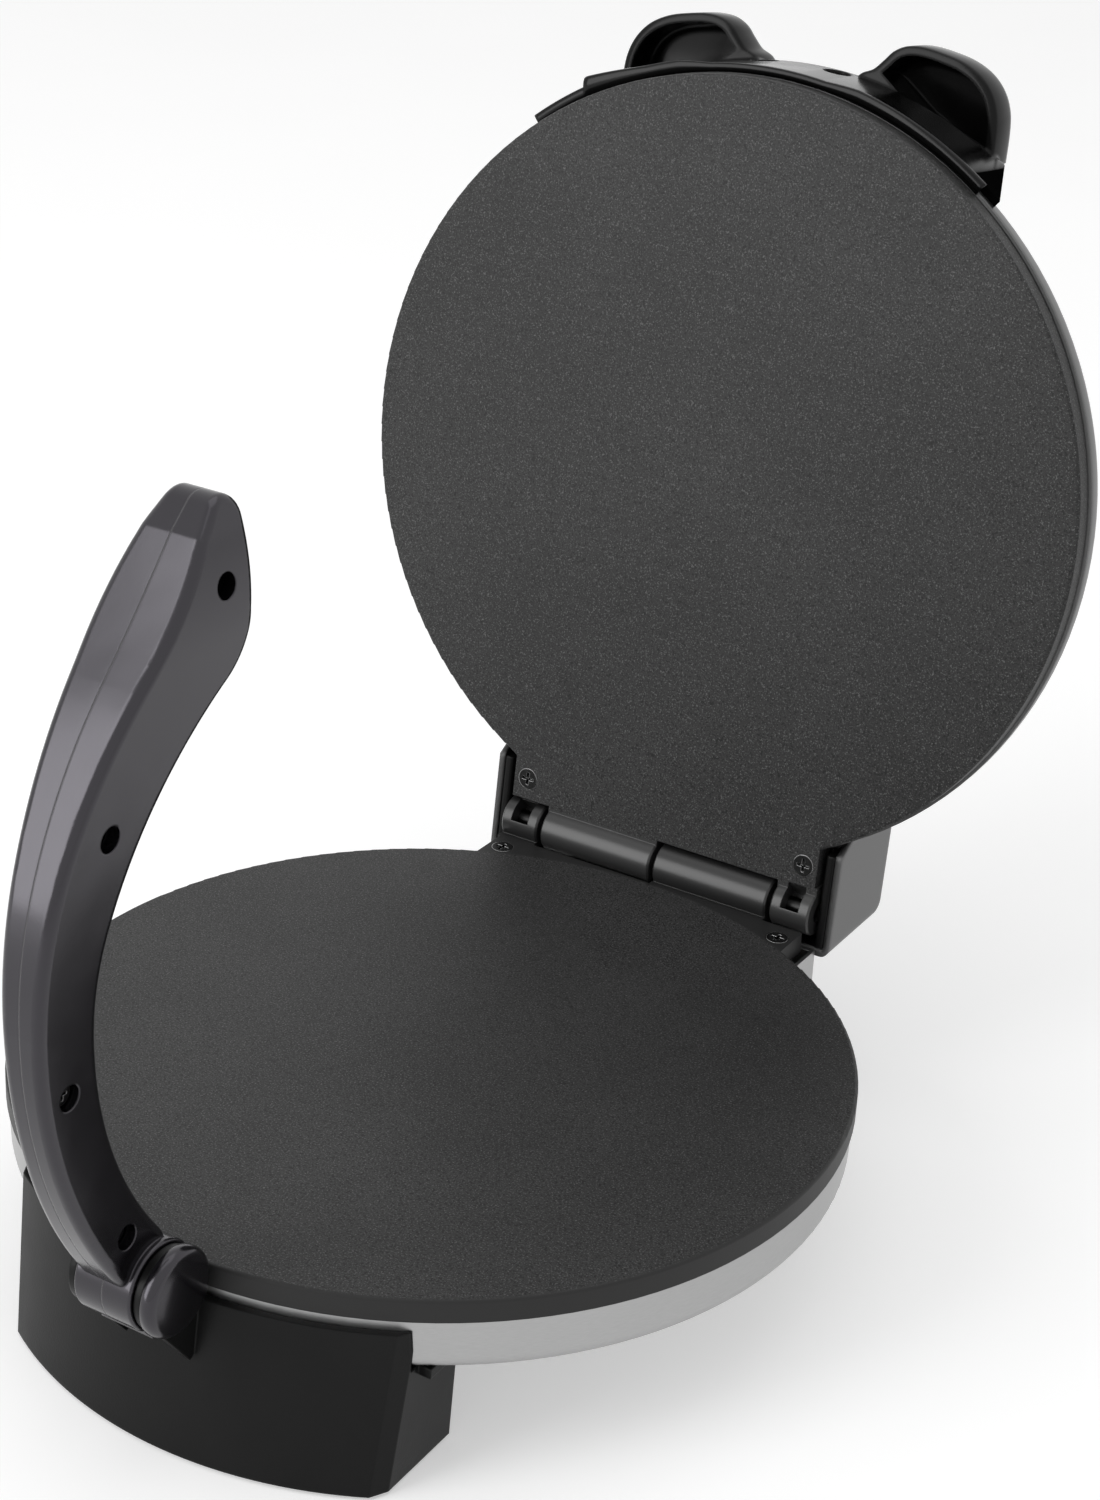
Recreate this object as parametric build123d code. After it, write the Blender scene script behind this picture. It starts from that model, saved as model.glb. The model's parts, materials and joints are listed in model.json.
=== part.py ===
from build123d import *
import math
import os

# Electric flatbread maker: a round base with a cooking plate, a lid with the matching plate that swings
# up on a steel pin at the back, and a curved pressing lever that pivots on the front foot.
# Millimetres. While the pieces are drawn, X runs to the right, Y to the back and Z up, with z = 0 at the
# cooking face of the lower plate and the vertical axis through its centre. The lid is drawn closed and
# then turned open. The last step stands the whole on z = 0 with the origin under the middle of its box.

# ---------------------------------------------------------------- driving dimensions
plate_radius = 127.0          # ten inch cooking plates
plate_rim_depth = 7.0
plate_web = 4.6
plate_rim_wall = 4.0
plate_edge_round = 1.0
plate_gap = 0.4               # between the two cooking faces when the lid is shut
tab_half_width = 58.5         # straight back edge of each plate, where the knuckles start
tab_end = plate_radius        # the tab's back edge lies level with the back of the round face

hinge_y = tab_end + 8.7
hinge_z = 3.8
lid_open_angle = 96.4
knuckle_radius = 7.8
hinge_pin_radius = 3.0
hinge_pin_fit = 0.06
knuckle_split = 1.6           # gap between neighbouring knuckles
barrel_start = 0.8            # the two long barrels meet at the middle
barrel_end = 43.7
block_end = 59.5
window_length = 6.6
window_width = 8.6
window_lean = 50.0            # the window's direction above the front, in degrees

shell_gap = 0.3               # fixed pieces that face each other without touching
pan_radius = plate_radius - 1.0
pan_depth = 16.3
pan_wall = 1.3
pan_corner = 4.2
pan_box_half_width = 62.0
pan_box_end = tab_end + 3.6
wire_hole_y = tab_end - 23.0
wire_hole_radius = 7.0

plate_height = 60.5           # cooking face above the table
foot_wall = 3.0
foot_top_drop = 10.5          # top edge of the front foot below the cooking face
foot_top_radius = plate_radius + 1.5
foot_top_half_width = 64.0
foot_bottom_half_width = 61.4
foot_corner_out = 2.8
foot_corner_back = 5.0
foot_bottom_front = foot_top_radius + 6.9
foot_bottom_radius = foot_top_radius - 4.5
foot_back = foot_top_radius - 43.5
saddle_half_width = 70.0
rear_foot_front = tab_end - 43.0
rear_foot_half_width = 46.0
rear_foot_end_top = tab_end - 1.0
rear_foot_end_bottom = tab_end + 7.0
rear_housing_half_width = 37.0
rear_housing_end = tab_end + 23.0
rest_rib_height = 0.55        # the rib that the open lid leans on
rest_rib_front = rear_housing_end - 8.5
gland_z = -40.0
gland_neck_radius = 6.0
gland_bore_radius = 3.6
gland_flange_radius = 8.5
terminal_y = tab_end - 4.0
pad_radius = 8.0
pad_thickness = 3.0
pad_proud = 1.2

pivot_y = -foot_top_radius - 11.8
pivot_z = -0.3
pivot_pin_radius = 4.0
pivot_fit = 0.05
barrel_radius = 12.7
barrel_half_length = 9.4
ear_gap = 0.35
ear_thickness = 2.2
ear_radius = 11.6
cap_thickness = 5.4
cap_radius = 12.7
cap_round = 2.6

lever_edge_round = 2.6
lever_tip_radius = 6.4
strap_thickness = 2.0
sleeve_radius = 5.6
screw_seat = 1.6
lever_screw_hole_radius = 3.5
lever_screw_radius = 1.6

lid_radius = plate_radius + 0.8
lid_rim = 8.2                 # lower edge of the lid shell above the lower cooking face
lid_shoulder_start = 9.6
lid_shoulder_radius = 21.0
lid_shoulder_lean = 71.5      # where the shoulder meets the dome, in degrees
lid_wall = 2.0
cover_half_width = 66.0
cover_foot_y = tab_end + 22.4
cover_top_y = tab_end + 17.9
cover_reach = tab_end - 13.1
cover_bottom = 1.6
cover_top = 42.4
cover_corner = 6.0
cover_front = 70.0
liner_wall = 3.5
liner_front = tab_end - 12.8
boss_low = 20.0

handle_radius = plate_radius + 3.0
handle_angle = 38.6           # half the arc that the handle covers, from the front
handle_lip_angle = 27.6
handle_top = 44.5
handle_skirt_bottom = 19.0
ear_rim_z = 36.0
ear_rim_round = 1.2
ear_wall = 3.0
ear_height = 17.0
ear_top_round = 6.5
valley_screw_x = 12.9
valley_screw_z = 31.4
valley_hole_radius = 4.6
hole_floor = 8.0 - handle_radius
bracket_front = 12.0 - handle_radius
bracket_screw_y = 21.0 - handle_radius
handle_screw_x = 18.0
lamp_x = 11.0
lamp_y = 22.0 - handle_radius
lamp_radius = 4.0

element_radius = 84.0
element_tube = 3.4
element_end_angle = 24.0
element_lead = 14.0
element_sink = 1.0            # how deep the tube lies in its groove in the plate
clamp_angles = (200.0, 270.0, 340.0)
clamp_spread = 8.5
clamp_screw_radius = 1.25
shield_depth = 11.0
wire_bend = 2.2
reflector_radius = plate_radius - 9.0
reflector_thickness = 0.8
standoff_radius = 4.0
screw_radius = 1.8
screw_head_radius = 3.7
standoff_rear = (53.3, tab_end - 7.5)
standoff_front = (44.0, 29.0 - plate_radius)

# ---------------------------------------------------------------- derived values
plate_bottom = -plate_rim_depth
pan_bottom = plate_bottom - pan_depth
pan_floor = pan_bottom + pan_wall
table = -plate_height
upper_face = plate_gap
upper_back = plate_gap + plate_rim_depth
block_start = barrel_end + knuckle_split
hinge_axis = Axis((0, hinge_y, hinge_z), (1, 0, 0))
deck = pan_bottom
deck_bottom = deck - foot_wall
foot_sole = table + pad_proud
lid_rest_z = hinge_z - 14.3
pocket_depth = plate_rim_depth - plate_web
web_low = plate_bottom + pocket_depth
element_z = web_low - element_tube + element_sink
clamp_bottom = element_z - element_tube


# ---------------------------------------------------------------- helpers
def x_cylinder(y, z, radius, start, end):
    """A cylinder along X."""
    plane = Plane(origin=(start, y, z), z_dir=(1, 0, 0))
    return extrude(plane * Circle(radius), amount=end - start)


def z_cylinder(x, y, radius, bottom, top):
    """A cylinder along Z."""
    return extrude(Plane.XY.offset(bottom) * Pos(x, y) * Circle(radius), amount=top - bottom)


def box_between(low, high):
    """A box from its lowest corner to its highest."""
    size = [b - a for a, b in zip(low, high)]
    return Pos(*low) * Box(*size, align=(Align.MIN, Align.MIN, Align.MIN))


def both_sides(piece):
    """A piece and its mirror image across the middle plane."""
    return [piece, mirror(piece, about=Plane.YZ)]


def fuse(pieces):
    """One shape from a list of pieces."""
    whole = pieces[0]
    for piece in pieces[1:]:
        whole = whole + piece
    return whole


def cross_recess(size, depth):
    """The cross cut into a screw's head, open at z = 0 and going down."""
    blade = Box(size, size / 4.5, depth, align=(Align.CENTER, Align.CENTER, Align.MAX))
    return blade + Rot(0, 0, 90) * blade


# ---------------------------------------------------------------- cooking plates and their hinge
def plate_outline():
    """Round cooking face with a straight tab at the back."""
    tab = Pos(0, tab_end / 2) * Rectangle(2 * tab_half_width, tab_end)
    return Circle(plate_radius) + tab


def knuckle(start, end, web_low, web_high):
    """A hinge barrel, bored for the pin, with the web that joins it to its plate."""
    barrel = x_cylinder(hinge_y, hinge_z, knuckle_radius, start, end)
    barrel = chamfer(barrel.edges().filter_by(GeomType.CIRCLE), 0.6)
    web = box_between((start, tab_end - 1.0, web_low), (end, hinge_y, web_high))
    bore = x_cylinder(hinge_y, hinge_z, hinge_pin_radius + hinge_pin_fit, start - 1, end + 1)
    return (barrel + web) - bore


def window(start, lean):
    """The cut through the wall of an end knuckle, in which the pin shows."""
    block = Pos(start, -window_width / 2, 0.5) * Box(window_length, window_width, knuckle_radius + 2,
                                                    align=(Align.MIN, Align.MIN, Align.MIN))
    return Pos(0, hinge_y, hinge_z) * Rot(90 - lean, 0, 0) * block


def make_lower_plate():
    body = extrude(plate_outline(), amount=-plate_rim_depth)
    body = fillet(body.faces().sort_by(Axis.Z)[-1].edges().sort_by(SortBy.LENGTH)[-1], plate_edge_round)
    body -= z_cylinder(0, 0, plate_radius - plate_rim_wall - 2, plate_bottom, plate_bottom + pocket_depth)
    body += knuckle(-block_end, -block_start, plate_bottom + 2.5, 0)
    body += knuckle(barrel_start, barrel_end, plate_bottom + 2.5, 0)
    window_start = -block_end + (block_end - block_start - window_length) / 2
    body -= window(window_start, window_lean)
    body += fuse([z_cylinder(x, y, standoff_radius + 2, plate_bottom, plate_bottom + pocket_depth)
                  for x, y in standoff_places() if y < 0])
    for x, y in standoff_places():
        if y > 0:
            body -= z_cylinder(x, y, screw_radius + 0.3, plate_bottom, 0)
            body -= screw_cone(x, y, 0, 0.1)
        else:
            body -= z_cylinder(x, y, screw_radius, plate_bottom - 1, plate_bottom + 3.6)
    return body


def make_upper_plate():
    body = extrude(Plane.XY.offset(upper_face) * plate_outline(), amount=plate_rim_depth)
    body = fillet(body.faces().sort_by(Axis.Z)[0].edges().sort_by(SortBy.LENGTH)[-1], plate_edge_round)
    body -= z_cylinder(0, 0, plate_radius - plate_rim_wall - 2, upper_back - pocket_depth, upper_back)
    body += knuckle(-barrel_end, -barrel_start, upper_face, upper_back - 0.5)
    body += knuckle(block_start, block_end, upper_face, upper_back - 0.5)
    window_start = block_start + (block_end - block_start - window_length) / 2
    body -= window(window_start, window_lean - lid_open_angle)
    body += fuse([z_cylinder(x, y, standoff_radius + 2, upper_back - pocket_depth, upper_back)
                  for x, y in standoff_places() if y < 0])
    for x, y in standoff_places():
        if y > 0:
            body -= z_cylinder(x, y, screw_radius + 0.3, upper_face, upper_back)
            body -= mirror(screw_cone(x, y, 0, 0.1), about=Plane.XY).moved(Pos(0, 0, upper_face))
        else:
            body -= z_cylinder(x, y, screw_radius, upper_back - 3.6, upper_back + 1)
    return body


def standoff_places():
    """Where the four posts of each half stand, under the plate's screws."""
    return [(sign * x, y) for x, y in (standoff_rear, standoff_front) for sign in (-1, 1)]


def screw_cone(x, y, top, clearance):
    """The countersunk head's cone, with its face at the given height."""
    depth = screw_head_radius - screw_radius
    cone = Cone(screw_radius + clearance, screw_head_radius + clearance, depth,
                align=(Align.CENTER, Align.CENTER, Align.MAX))
    return Pos(x, y, top) * cone


def plate_screw(x, y, length):
    """A countersunk screw with a cross recess, head up at z = 0."""
    body = screw_cone(x, y, 0, 0) + z_cylinder(x, y, screw_radius, -length, -0.5)
    return body - Pos(x, y, 0) * cross_recess(4.4, 1.3)


def make_hinge_pin():
    pin = x_cylinder(hinge_y, hinge_z, hinge_pin_radius, -block_end + 0.8, block_end - 0.8)
    return chamfer(pin.edges().filter_by(GeomType.CIRCLE), 0.5)


# ---------------------------------------------------------------- base pan
def pan_outline(inset):
    """The pan seen from above: round, with square corners at the back that carry the hinge."""
    box_width = 2 * (pan_box_half_width - inset)
    box_length = pan_box_end - inset
    box = Pos(0, box_length / 2) * Rectangle(box_width, box_length)
    return Circle(pan_radius - inset) + box


def make_base_pan():
    outer = extrude(Plane.XY.offset(pan_bottom) * pan_outline(0), amount=pan_depth)
    outer = fillet(outer.faces().sort_by(Axis.Z)[0].edges(), pan_corner)
    inner = extrude(Plane.XY.offset(pan_floor) * pan_outline(pan_wall), amount=pan_depth)
    inner = fillet(inner.faces().sort_by(Axis.Z)[0].edges(), pan_corner - pan_wall)
    pan = outer - inner
    for x, y in standoff_places():
        pan -= z_cylinder(x, y, screw_radius + 0.3, pan_bottom - 1, pan_floor + 1)
    for x, y in foot_screw_places():
        pan -= z_cylinder(x, y, screw_radius + 0.3, pan_bottom - 1, pan_floor + 1)
    pan -= z_cylinder(0, wire_hole_y, wire_hole_radius, pan_bottom - 1, pan_floor + 1)
    slots = [Rot(0, 0, angle) * Pos(0, 42, pan_bottom) * extrude(SlotOverall(30, 4), amount=8, both=True)
             for angle in range(0, 360, 45)]
    return pan - slots


def foot_screw_places():
    """Two screws hold each foot to the pan, from above."""
    return [(sign * 30.0, y) for y in (-foot_back - 23.0, rear_foot_front + 10.0) for sign in (-1, 1)]


# ---------------------------------------------------------------- feet
def foot_section(half_width, front, radius, z, inset):
    """One level of the front foot: a bowed front, two corner facets, flat sides and a straight back."""
    front_y = -front + inset
    arc_radius = radius - inset
    x1 = half_width - inset
    x2 = half_width + foot_corner_out - inset
    drop = arc_radius - math.sqrt(arc_radius ** 2 - x1 ** 2)
    y1 = front_y + drop
    y2 = y1 + foot_corner_back
    back = -foot_back - inset
    outline = [
        ThreePointArc((-x1, y1), (0, front_y), (x1, y1)),
        Line((x1, y1), (x2, y2)),
        Line((x2, y2), (x2, back)),
        Line((x2, back), (-x2, back)),
        Line((-x2, back), (-x2, y2)),
        Line((-x2, y2), (-x1, y1)),
    ]
    return Plane.XY.offset(z) * make_face(outline)


def foot_at(z, inset):
    """The front foot's section at any height, between its top and the table."""
    share = (-foot_top_drop - z) / (-foot_top_drop - table)
    half_width = foot_top_half_width + share * (foot_bottom_half_width - foot_top_half_width)
    front = foot_top_radius + share * (foot_bottom_front - foot_top_radius)
    radius = foot_top_radius + share * (foot_bottom_radius - foot_top_radius)
    return foot_section(half_width, front, radius, z, inset)


def make_front_foot():
    outer = loft([foot_at(-foot_top_drop, 0), foot_at(foot_sole, 0)], ruled=True)
    hollow = loft([foot_at(deck_bottom, foot_wall), foot_at(foot_sole - 1, foot_wall)], ruled=True)
    foot = outer - hollow
    foot -= z_cylinder(0, 0, pan_radius + shell_gap, deck, 0)
    foot += box_between((-saddle_half_width, -foot_back - 19, deck_bottom),
                        (saddle_half_width, -foot_back - 3, deck))
    for x in (-30, 0, 30):
        foot += box_between((x - 1.2, -foot_back - 26, foot_sole + 18),
                            (x + 1.2, -foot_back - 2, deck_bottom + 0.5))
    for x, y in foot_screw_places():
        if y < 0:
            foot += z_cylinder(x, y, 4.2, deck_bottom - 14, deck_bottom + 0.5)
            foot -= z_cylinder(x, y, screw_radius, deck_bottom - 12, deck + 1)
    for x, y in pad_places():
        if y < 0:
            foot += z_cylinder(x, y, pad_radius + 2, foot_sole, foot_sole + 6)
            foot -= z_cylinder(x, y, pad_radius, foot_sole - 1, foot_sole + pad_thickness - pad_proud)
            foot += box_between((x - 1.2, y, foot_sole + 2.3), (x + 1.2, -foot_back - 1, foot_sole + 6))
    for x, y in front_cover_screw_places():
        foot += z_cylinder(x, y, 4.2, foot_sole + 2, deck_bottom + 0.5)
        foot -= z_cylinder(x, y, screw_radius, foot_sole, foot_sole + 14)
    for x, y in standoff_places():
        if y < 0:
            foot -= z_cylinder(x, y, screw_head_radius + 0.8, deck_bottom - 1, deck + 1)
    return foot + [pivot_ear(sign) for sign in (-1, 1)] - pivot_hole()


def front_cover_screw_places():
    """Two screws hold the front foot's cover."""
    return [(-20, -foot_back - 16), (20, -foot_back - 16)]


def make_front_cover():
    """The plate that closes the front foot from below, with round cut-outs for the pads."""
    cover = extrude(foot_at(foot_sole, foot_wall + 0.5), amount=2)
    for x, y in pad_places():
        if y < 0:
            cover -= z_cylinder(x, y, pad_radius + 2.3, foot_sole - 1, foot_sole + 3)
    for x, y in front_cover_screw_places():
        cover -= z_cylinder(x, y, screw_radius + 0.2, foot_sole - 1, foot_sole + 3)
    return cover


def pivot_hole():
    reach = barrel_half_length + ear_gap + ear_thickness + 1
    return x_cylinder(pivot_y, pivot_z, pivot_pin_radius, -reach, reach)


def pivot_ear(sign):
    """A cheek of the front foot that carries one end of the lever's pin."""
    near = barrel_half_length + ear_gap
    head = x_cylinder(pivot_y, pivot_z, ear_radius, near, near + ear_thickness)
    neck = extrude(
        Plane.YZ.offset(near) * Polygon((pivot_y - ear_radius * 0.9, pivot_z - 4),
                                        (pivot_y + 3, pivot_z - ear_radius),
                                        (-foot_top_radius + 0.3, -foot_top_drop - 1),
                                        (-foot_top_radius + 0.3, deck_bottom),
                                        (-foot_bottom_front + 3.4, deck_bottom - 2),
                                        align=None),
        amount=ear_thickness, dir=(1, 0, 0))
    ear = head + neck
    return ear if sign > 0 else mirror(ear, about=Plane.YZ)


def pad_places():
    """Where the four rubber feet sit."""
    front_y = -foot_back - 19
    rear_y = rear_foot_front + 28
    return [(-48, front_y), (48, front_y), (-36, rear_y), (36, rear_y)]


def make_rubber_feet():
    feet = []
    for x, y in pad_places():
        pad = z_cylinder(x, y, pad_radius - 0.2, table, table + pad_thickness)
        feet.append(fillet(pad.faces().sort_by(Axis.Z)[0].edges(), 0.8))
    return feet


def rear_outline(half_width, end, inset):
    """One level of the rear foot: straight front and sides with a bowed back."""
    x = half_width - inset
    side_end = end - 12
    outline = [
        Line((-x, rear_foot_front + inset), (x, rear_foot_front + inset)),
        Line((x, rear_foot_front + inset), (x, side_end - inset)),
        ThreePointArc((x, side_end - inset), (0, end - inset), (-x, side_end - inset)),
        Line((-x, side_end - inset), (-x, rear_foot_front + inset)),
    ]
    return make_face(outline)


def make_rear_foot():
    top = deck
    outer = loft([Plane.XY.offset(top) * rear_outline(rear_foot_half_width, rear_foot_end_top, 0),
                  Plane.XY.offset(foot_sole) * rear_outline(rear_foot_half_width + 3, rear_foot_end_bottom, 0)],
                 ruled=True)
    high = rear_outline(rear_foot_half_width, rear_foot_end_top, foot_wall)
    low = rear_outline(rear_foot_half_width + 3, rear_foot_end_bottom, foot_wall)
    hollow = loft([Plane.XY.offset(deck_bottom) * high, Plane.XY.offset(foot_sole - 1) * low], ruled=True)
    w = rear_housing_half_width
    housing = box_between((-w, rear_foot_front + 26, foot_sole), (w, rear_housing_end, lid_rest_z))
    housing = fillet(housing.faces().sort_by(Axis.Y)[-1].edges().filter_by(Axis.Z), 6)
    housing += box_between((-w + 8, rest_rib_front, lid_rest_z - 1),
                           (w - 8, rear_housing_end - 2, lid_rest_z + rest_rib_height))
    room = box_between((-w + foot_wall, rear_foot_front + 24, foot_sole - 1),
                       (w - foot_wall, rear_housing_end - foot_wall, lid_rest_z - foot_wall))
    room = fillet(room.faces().sort_by(Axis.Y)[-1].edges().filter_by(Axis.Z), 3)
    foot = (outer + housing) - hollow - room
    pan_room = extrude(Plane.XY.offset(deck) * pan_outline(-shell_gap), amount=40)
    foot -= pan_room
    for x, y in foot_screw_places():
        if y > 0:
            foot += z_cylinder(x, y, 4.2, deck_bottom - 14, deck_bottom + 0.5)
            foot -= z_cylinder(x, y, screw_radius, deck_bottom - 12, deck + 1)
    foot -= z_cylinder(0, wire_hole_y, wire_hole_radius, deck_bottom - 1, deck + 1)
    for x, y in cover_screw_places():
        foot += z_cylinder(x, y, 4.2, foot_sole + 2, deck_bottom + 0.5)
        foot -= z_cylinder(x, y, screw_radius, foot_sole, foot_sole + 14)
    for x, y in pad_places():
        if y > 0:
            foot += z_cylinder(x, y, pad_radius + 2, foot_sole, foot_sole + 6)
            foot -= z_cylinder(x, y, pad_radius, foot_sole - 1, foot_sole + pad_thickness - pad_proud)
            foot += box_between((x - 1.2, rear_foot_front + 1, foot_sole + 2), (x + 1.2, y, foot_sole + 6))
    foot -= y_cylinder(0, gland_z, gland_neck_radius, rear_housing_end - foot_wall - 1, rear_housing_end + 1)
    return foot


def y_cylinder(x, z, radius, start, end):
    """A cylinder along Y."""
    plane = Plane(origin=(x, start, z), z_dir=(0, 1, 0))
    return extrude(plane * Circle(radius), amount=end - start)


def make_cord_gland():
    """The bush in the rear housing that the mains lead would come in through."""
    wall_in = rear_housing_end - foot_wall
    gland = y_cylinder(0, gland_z, gland_neck_radius - 0.1, wall_in - 3, rear_housing_end)
    gland += y_cylinder(0, gland_z, gland_flange_radius, rear_housing_end, rear_housing_end + 2.2)
    gland += y_cylinder(0, gland_z, gland_flange_radius - 0.6, wall_in - 3, wall_in)
    gland -= y_cylinder(0, gland_z, gland_bore_radius, wall_in - 5, rear_housing_end + 5)
    return gland


# ---------------------------------------------------------------- pressing lever
def smooth_on(curve, end):
    """An arc that carries on smoothly from the end of a curve."""
    return TangentArc(curve @ 1, end, tangent=curve % 1)


def lever_outline():
    """The lever from the side, as (y, z) from the pivot: a bow that thickens to the grip."""
    front_low = ThreePointArc((-12.3, 5.3), (-31.3, 42.3), (-39.4, 90.3))
    front_middle = smooth_on(front_low, (-31.9, 130.3))
    front_high = smooth_on(front_middle, (-6.7, 170.8))
    front_top = smooth_on(front_high, (18.8, 201.1))
    back_low = ThreePointArc((3.8, 14.8), (-12.7, 47.3), (-18.3, 84.3))
    back_middle = smooth_on(back_low, (-13.3, 109.3))
    back_high = smooth_on(back_middle, (6.3, 141.8))
    grip_low = smooth_on(back_high, (27.7, 161.8))
    grip = smooth_on(grip_low, (35.7, 179.3))
    tip = (35.9, 217.7)
    heel = (4.3, 5.3)
    rise = [front_low, front_middle, front_high, front_top, Line(front_top @ 1, tip)]
    fall = [Line(tip, grip @ 1), grip, grip_low, back_high, back_middle, back_low]
    face = make_face(rise + fall + [Line(back_low @ 0, heel), Line(heel, front_low @ 0)])
    return Plane.YZ * fillet(face.vertices().sort_by_distance(tip)[0], lever_tip_radius)


def lever_front_view():
    """The lever from the front, as (x, z) from the pivot: narrow in the middle, wide at both ends."""
    waist = ThreePointArc((8.2, -1.7), (6.1, 64.3), (8.3, 134.3))
    grip = smooth_on(waist, (11.9, 174.3))
    tip = smooth_on(grip, (5.4, 212.3))
    curves = [waist, grip, tip]
    across = [Line(tip @ 1, (-5.4, 212.3)), Line((8.2, -1.7), (-8.2, -1.7))]
    return Plane.XZ * make_face(curves + [mirror(curve, about=Plane.YZ) for curve in curves] + across)


def lever_solid():
    blade = extrude(lever_outline(), amount=16, both=True)
    blade = blade & extrude(lever_front_view(), amount=260, both=True)
    blade = fillet(blade.edges().filter_by(lambda e: e.length > 6 and e.center().Z > 12), lever_edge_round)
    barrel = x_cylinder(0, 0, barrel_radius, -barrel_half_length, barrel_half_length)
    barrel = fillet(barrel.edges().filter_by(GeomType.CIRCLE), 0.8)
    heel = Polygon((-5.7, -7.7), (-2.7, -15.7), (3.3, -18.2), (10.2, -17.9), (10.85, -12.7), (7.3, -7.7),
                   align=None)
    solid = blade + barrel + extrude(Plane.YZ * heel, amount=barrel_half_length - 0.8, both=True)
    return solid.moved(Pos(0, pivot_y, pivot_z))


def lever_screw_places():
    """The four screws that hold the two half shells together, as (y, z) in the side view."""
    places = [(24.9, 188.3), (-14.7, 135.5), (-29.1, 70.7), (-10.3, 19.9)]
    return [(pivot_y + y, pivot_z + z) for y, z in places]


def make_lever_halves():
    """The two mouldings, split down the middle, with a pocket between them for the steel strap."""
    solid = lever_solid() - lever_strap()
    solid -= x_cylinder(pivot_y, pivot_z, sleeve_radius, -20, 20)
    for y, z in lever_screw_places():
        solid -= x_cylinder(y, z, lever_screw_hole_radius, screw_seat, 20)
        solid -= x_cylinder(y, z, lever_screw_radius, -3.5, screw_seat + 1)
    far = 400
    right = solid & box_between((0, -far, -far), (far, far, far))
    left = solid & box_between((-far, -far, -far), (0, far, far))
    return left, right


def lever_strap():
    """The strap's whole body, before its screw holes: a bowed flat bar."""
    outer = ThreePointArc((-10.7, 15.3), (-33.1, 84.3), (-13.2, 150.3))
    inner = ThreePointArc((-6.2, 146.3), (-25.5, 84.3), (-3.2, 17.8))
    face = make_face([outer, Line(outer @ 1, inner @ 0), inner, Line(inner @ 1, outer @ 0)])
    return extrude(Plane.YZ * face, amount=strap_thickness / 2, both=True).moved(Pos(0, pivot_y, pivot_z))


def make_lever_screws():
    screws = []
    for y, z in lever_screw_places():
        head = x_cylinder(y, z, 2.9, screw_seat, screw_seat + 2.0)
        shank = x_cylinder(y, z, lever_screw_radius, -3.2, screw_seat)
        recess = Pos(screw_seat + 2.0, y, z) * Rot(0, 90, 0) * cross_recess(3.4, 1.0)
        screws.append(head + shank - recess)
    return screws


def make_pivot_sleeve():
    outer = x_cylinder(pivot_y, pivot_z, sleeve_radius, -barrel_half_length, barrel_half_length)
    return outer - x_cylinder(pivot_y, pivot_z, pivot_pin_radius + pivot_fit, -20, 20)


def make_pivot_pin():
    ear_out = barrel_half_length + ear_gap + ear_thickness
    pin = x_cylinder(pivot_y, pivot_z, pivot_pin_radius, -ear_out - 3.2, ear_out + 2.5)
    groove = x_cylinder(pivot_y, pivot_z, pivot_pin_radius + 1, -ear_out - 1.5, -ear_out - 0.5)
    groove -= x_cylinder(pivot_y, pivot_z, pivot_pin_radius - 1, -ear_out - 2, -ear_out)
    return pin - groove


def make_pivot_clip():
    """The spring clip that keeps the pin in, on the left."""
    ear_out = barrel_half_length + ear_gap + ear_thickness
    clip = x_cylinder(pivot_y, pivot_z, pivot_pin_radius + 2.6, -ear_out - 1.4, -ear_out - 0.6)
    clip -= x_cylinder(pivot_y, pivot_z, pivot_pin_radius - 0.9, -ear_out - 2, -ear_out)
    return clip - box_between((-ear_out - 2, pivot_y - 2.2, pivot_z - 20), (-ear_out, pivot_y + 2.2, pivot_z))


def make_pivot_cap():
    """The round cap pressed on the pin's right end."""
    start = barrel_half_length + ear_gap + ear_thickness + 0.3
    cap = x_cylinder(pivot_y, pivot_z, cap_radius, start, start + cap_thickness)
    cap = fillet(cap.faces().sort_by(Axis.X)[-1].edges(), cap_round)
    return cap - x_cylinder(pivot_y, pivot_z, pivot_pin_radius, start - 1, start + 2.2)


def make_lever_spine():
    """A steel strap between the two halves, held by their screws."""
    strap = lever_strap()
    for y, z in lever_screw_places()[1:]:
        strap -= x_cylinder(y, z, lever_screw_radius, -20, 20)
    return strap


# ---------------------------------------------------------------- heating parts, drawn for the lower half
def element_path():
    """The tube's centre line: an open ring whose ends run on straight towards the back."""
    start = math.radians(90 + element_end_angle)
    stop = math.radians(90 - element_end_angle)
    a = (element_radius * math.cos(start), element_radius * math.sin(start))
    b = (element_radius * math.cos(stop), element_radius * math.sin(stop))
    run = element_lead
    a_end = (a[0] + run * math.sin(start), a[1] - run * math.cos(start))
    b_end = (b[0] - run * math.sin(stop), b[1] + run * math.cos(stop))
    ring_line = ThreePointArc(a, (0, -element_radius), b)
    return Wire([Line(a_end, a), ring_line, Line(b, b_end)]), a, b, a_end, b_end


def tube_along(radius):
    path, a, _, a_end, _ = element_path()
    start = Plane(origin=(a_end[0], a_end[1], 0), z_dir=(a[0] - a_end[0], a[1] - a_end[1], 0))
    return Pos(0, 0, element_z) * sweep(start * Circle(radius), path=path)


def element_ends(radius, length):
    """A round bar on from each end of the tube."""
    _, a, b, a_end, b_end = element_path()
    bars = []
    for inner, outer in ((a, a_end), (b, b_end)):
        way = (outer[0] - inner[0], outer[1] - inner[1], 0)
        plane = Plane(origin=(outer[0], outer[1], element_z), z_dir=way)
        bars.append(extrude(plane * Circle(radius), amount=length))
    return bars


def make_element():
    """Tubular heating element with a sealing bead and a terminal pin at each end."""
    return fuse([tube_along(element_tube)] + element_ends(element_tube + 0.6, 4) + element_ends(1.3, 13))


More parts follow.
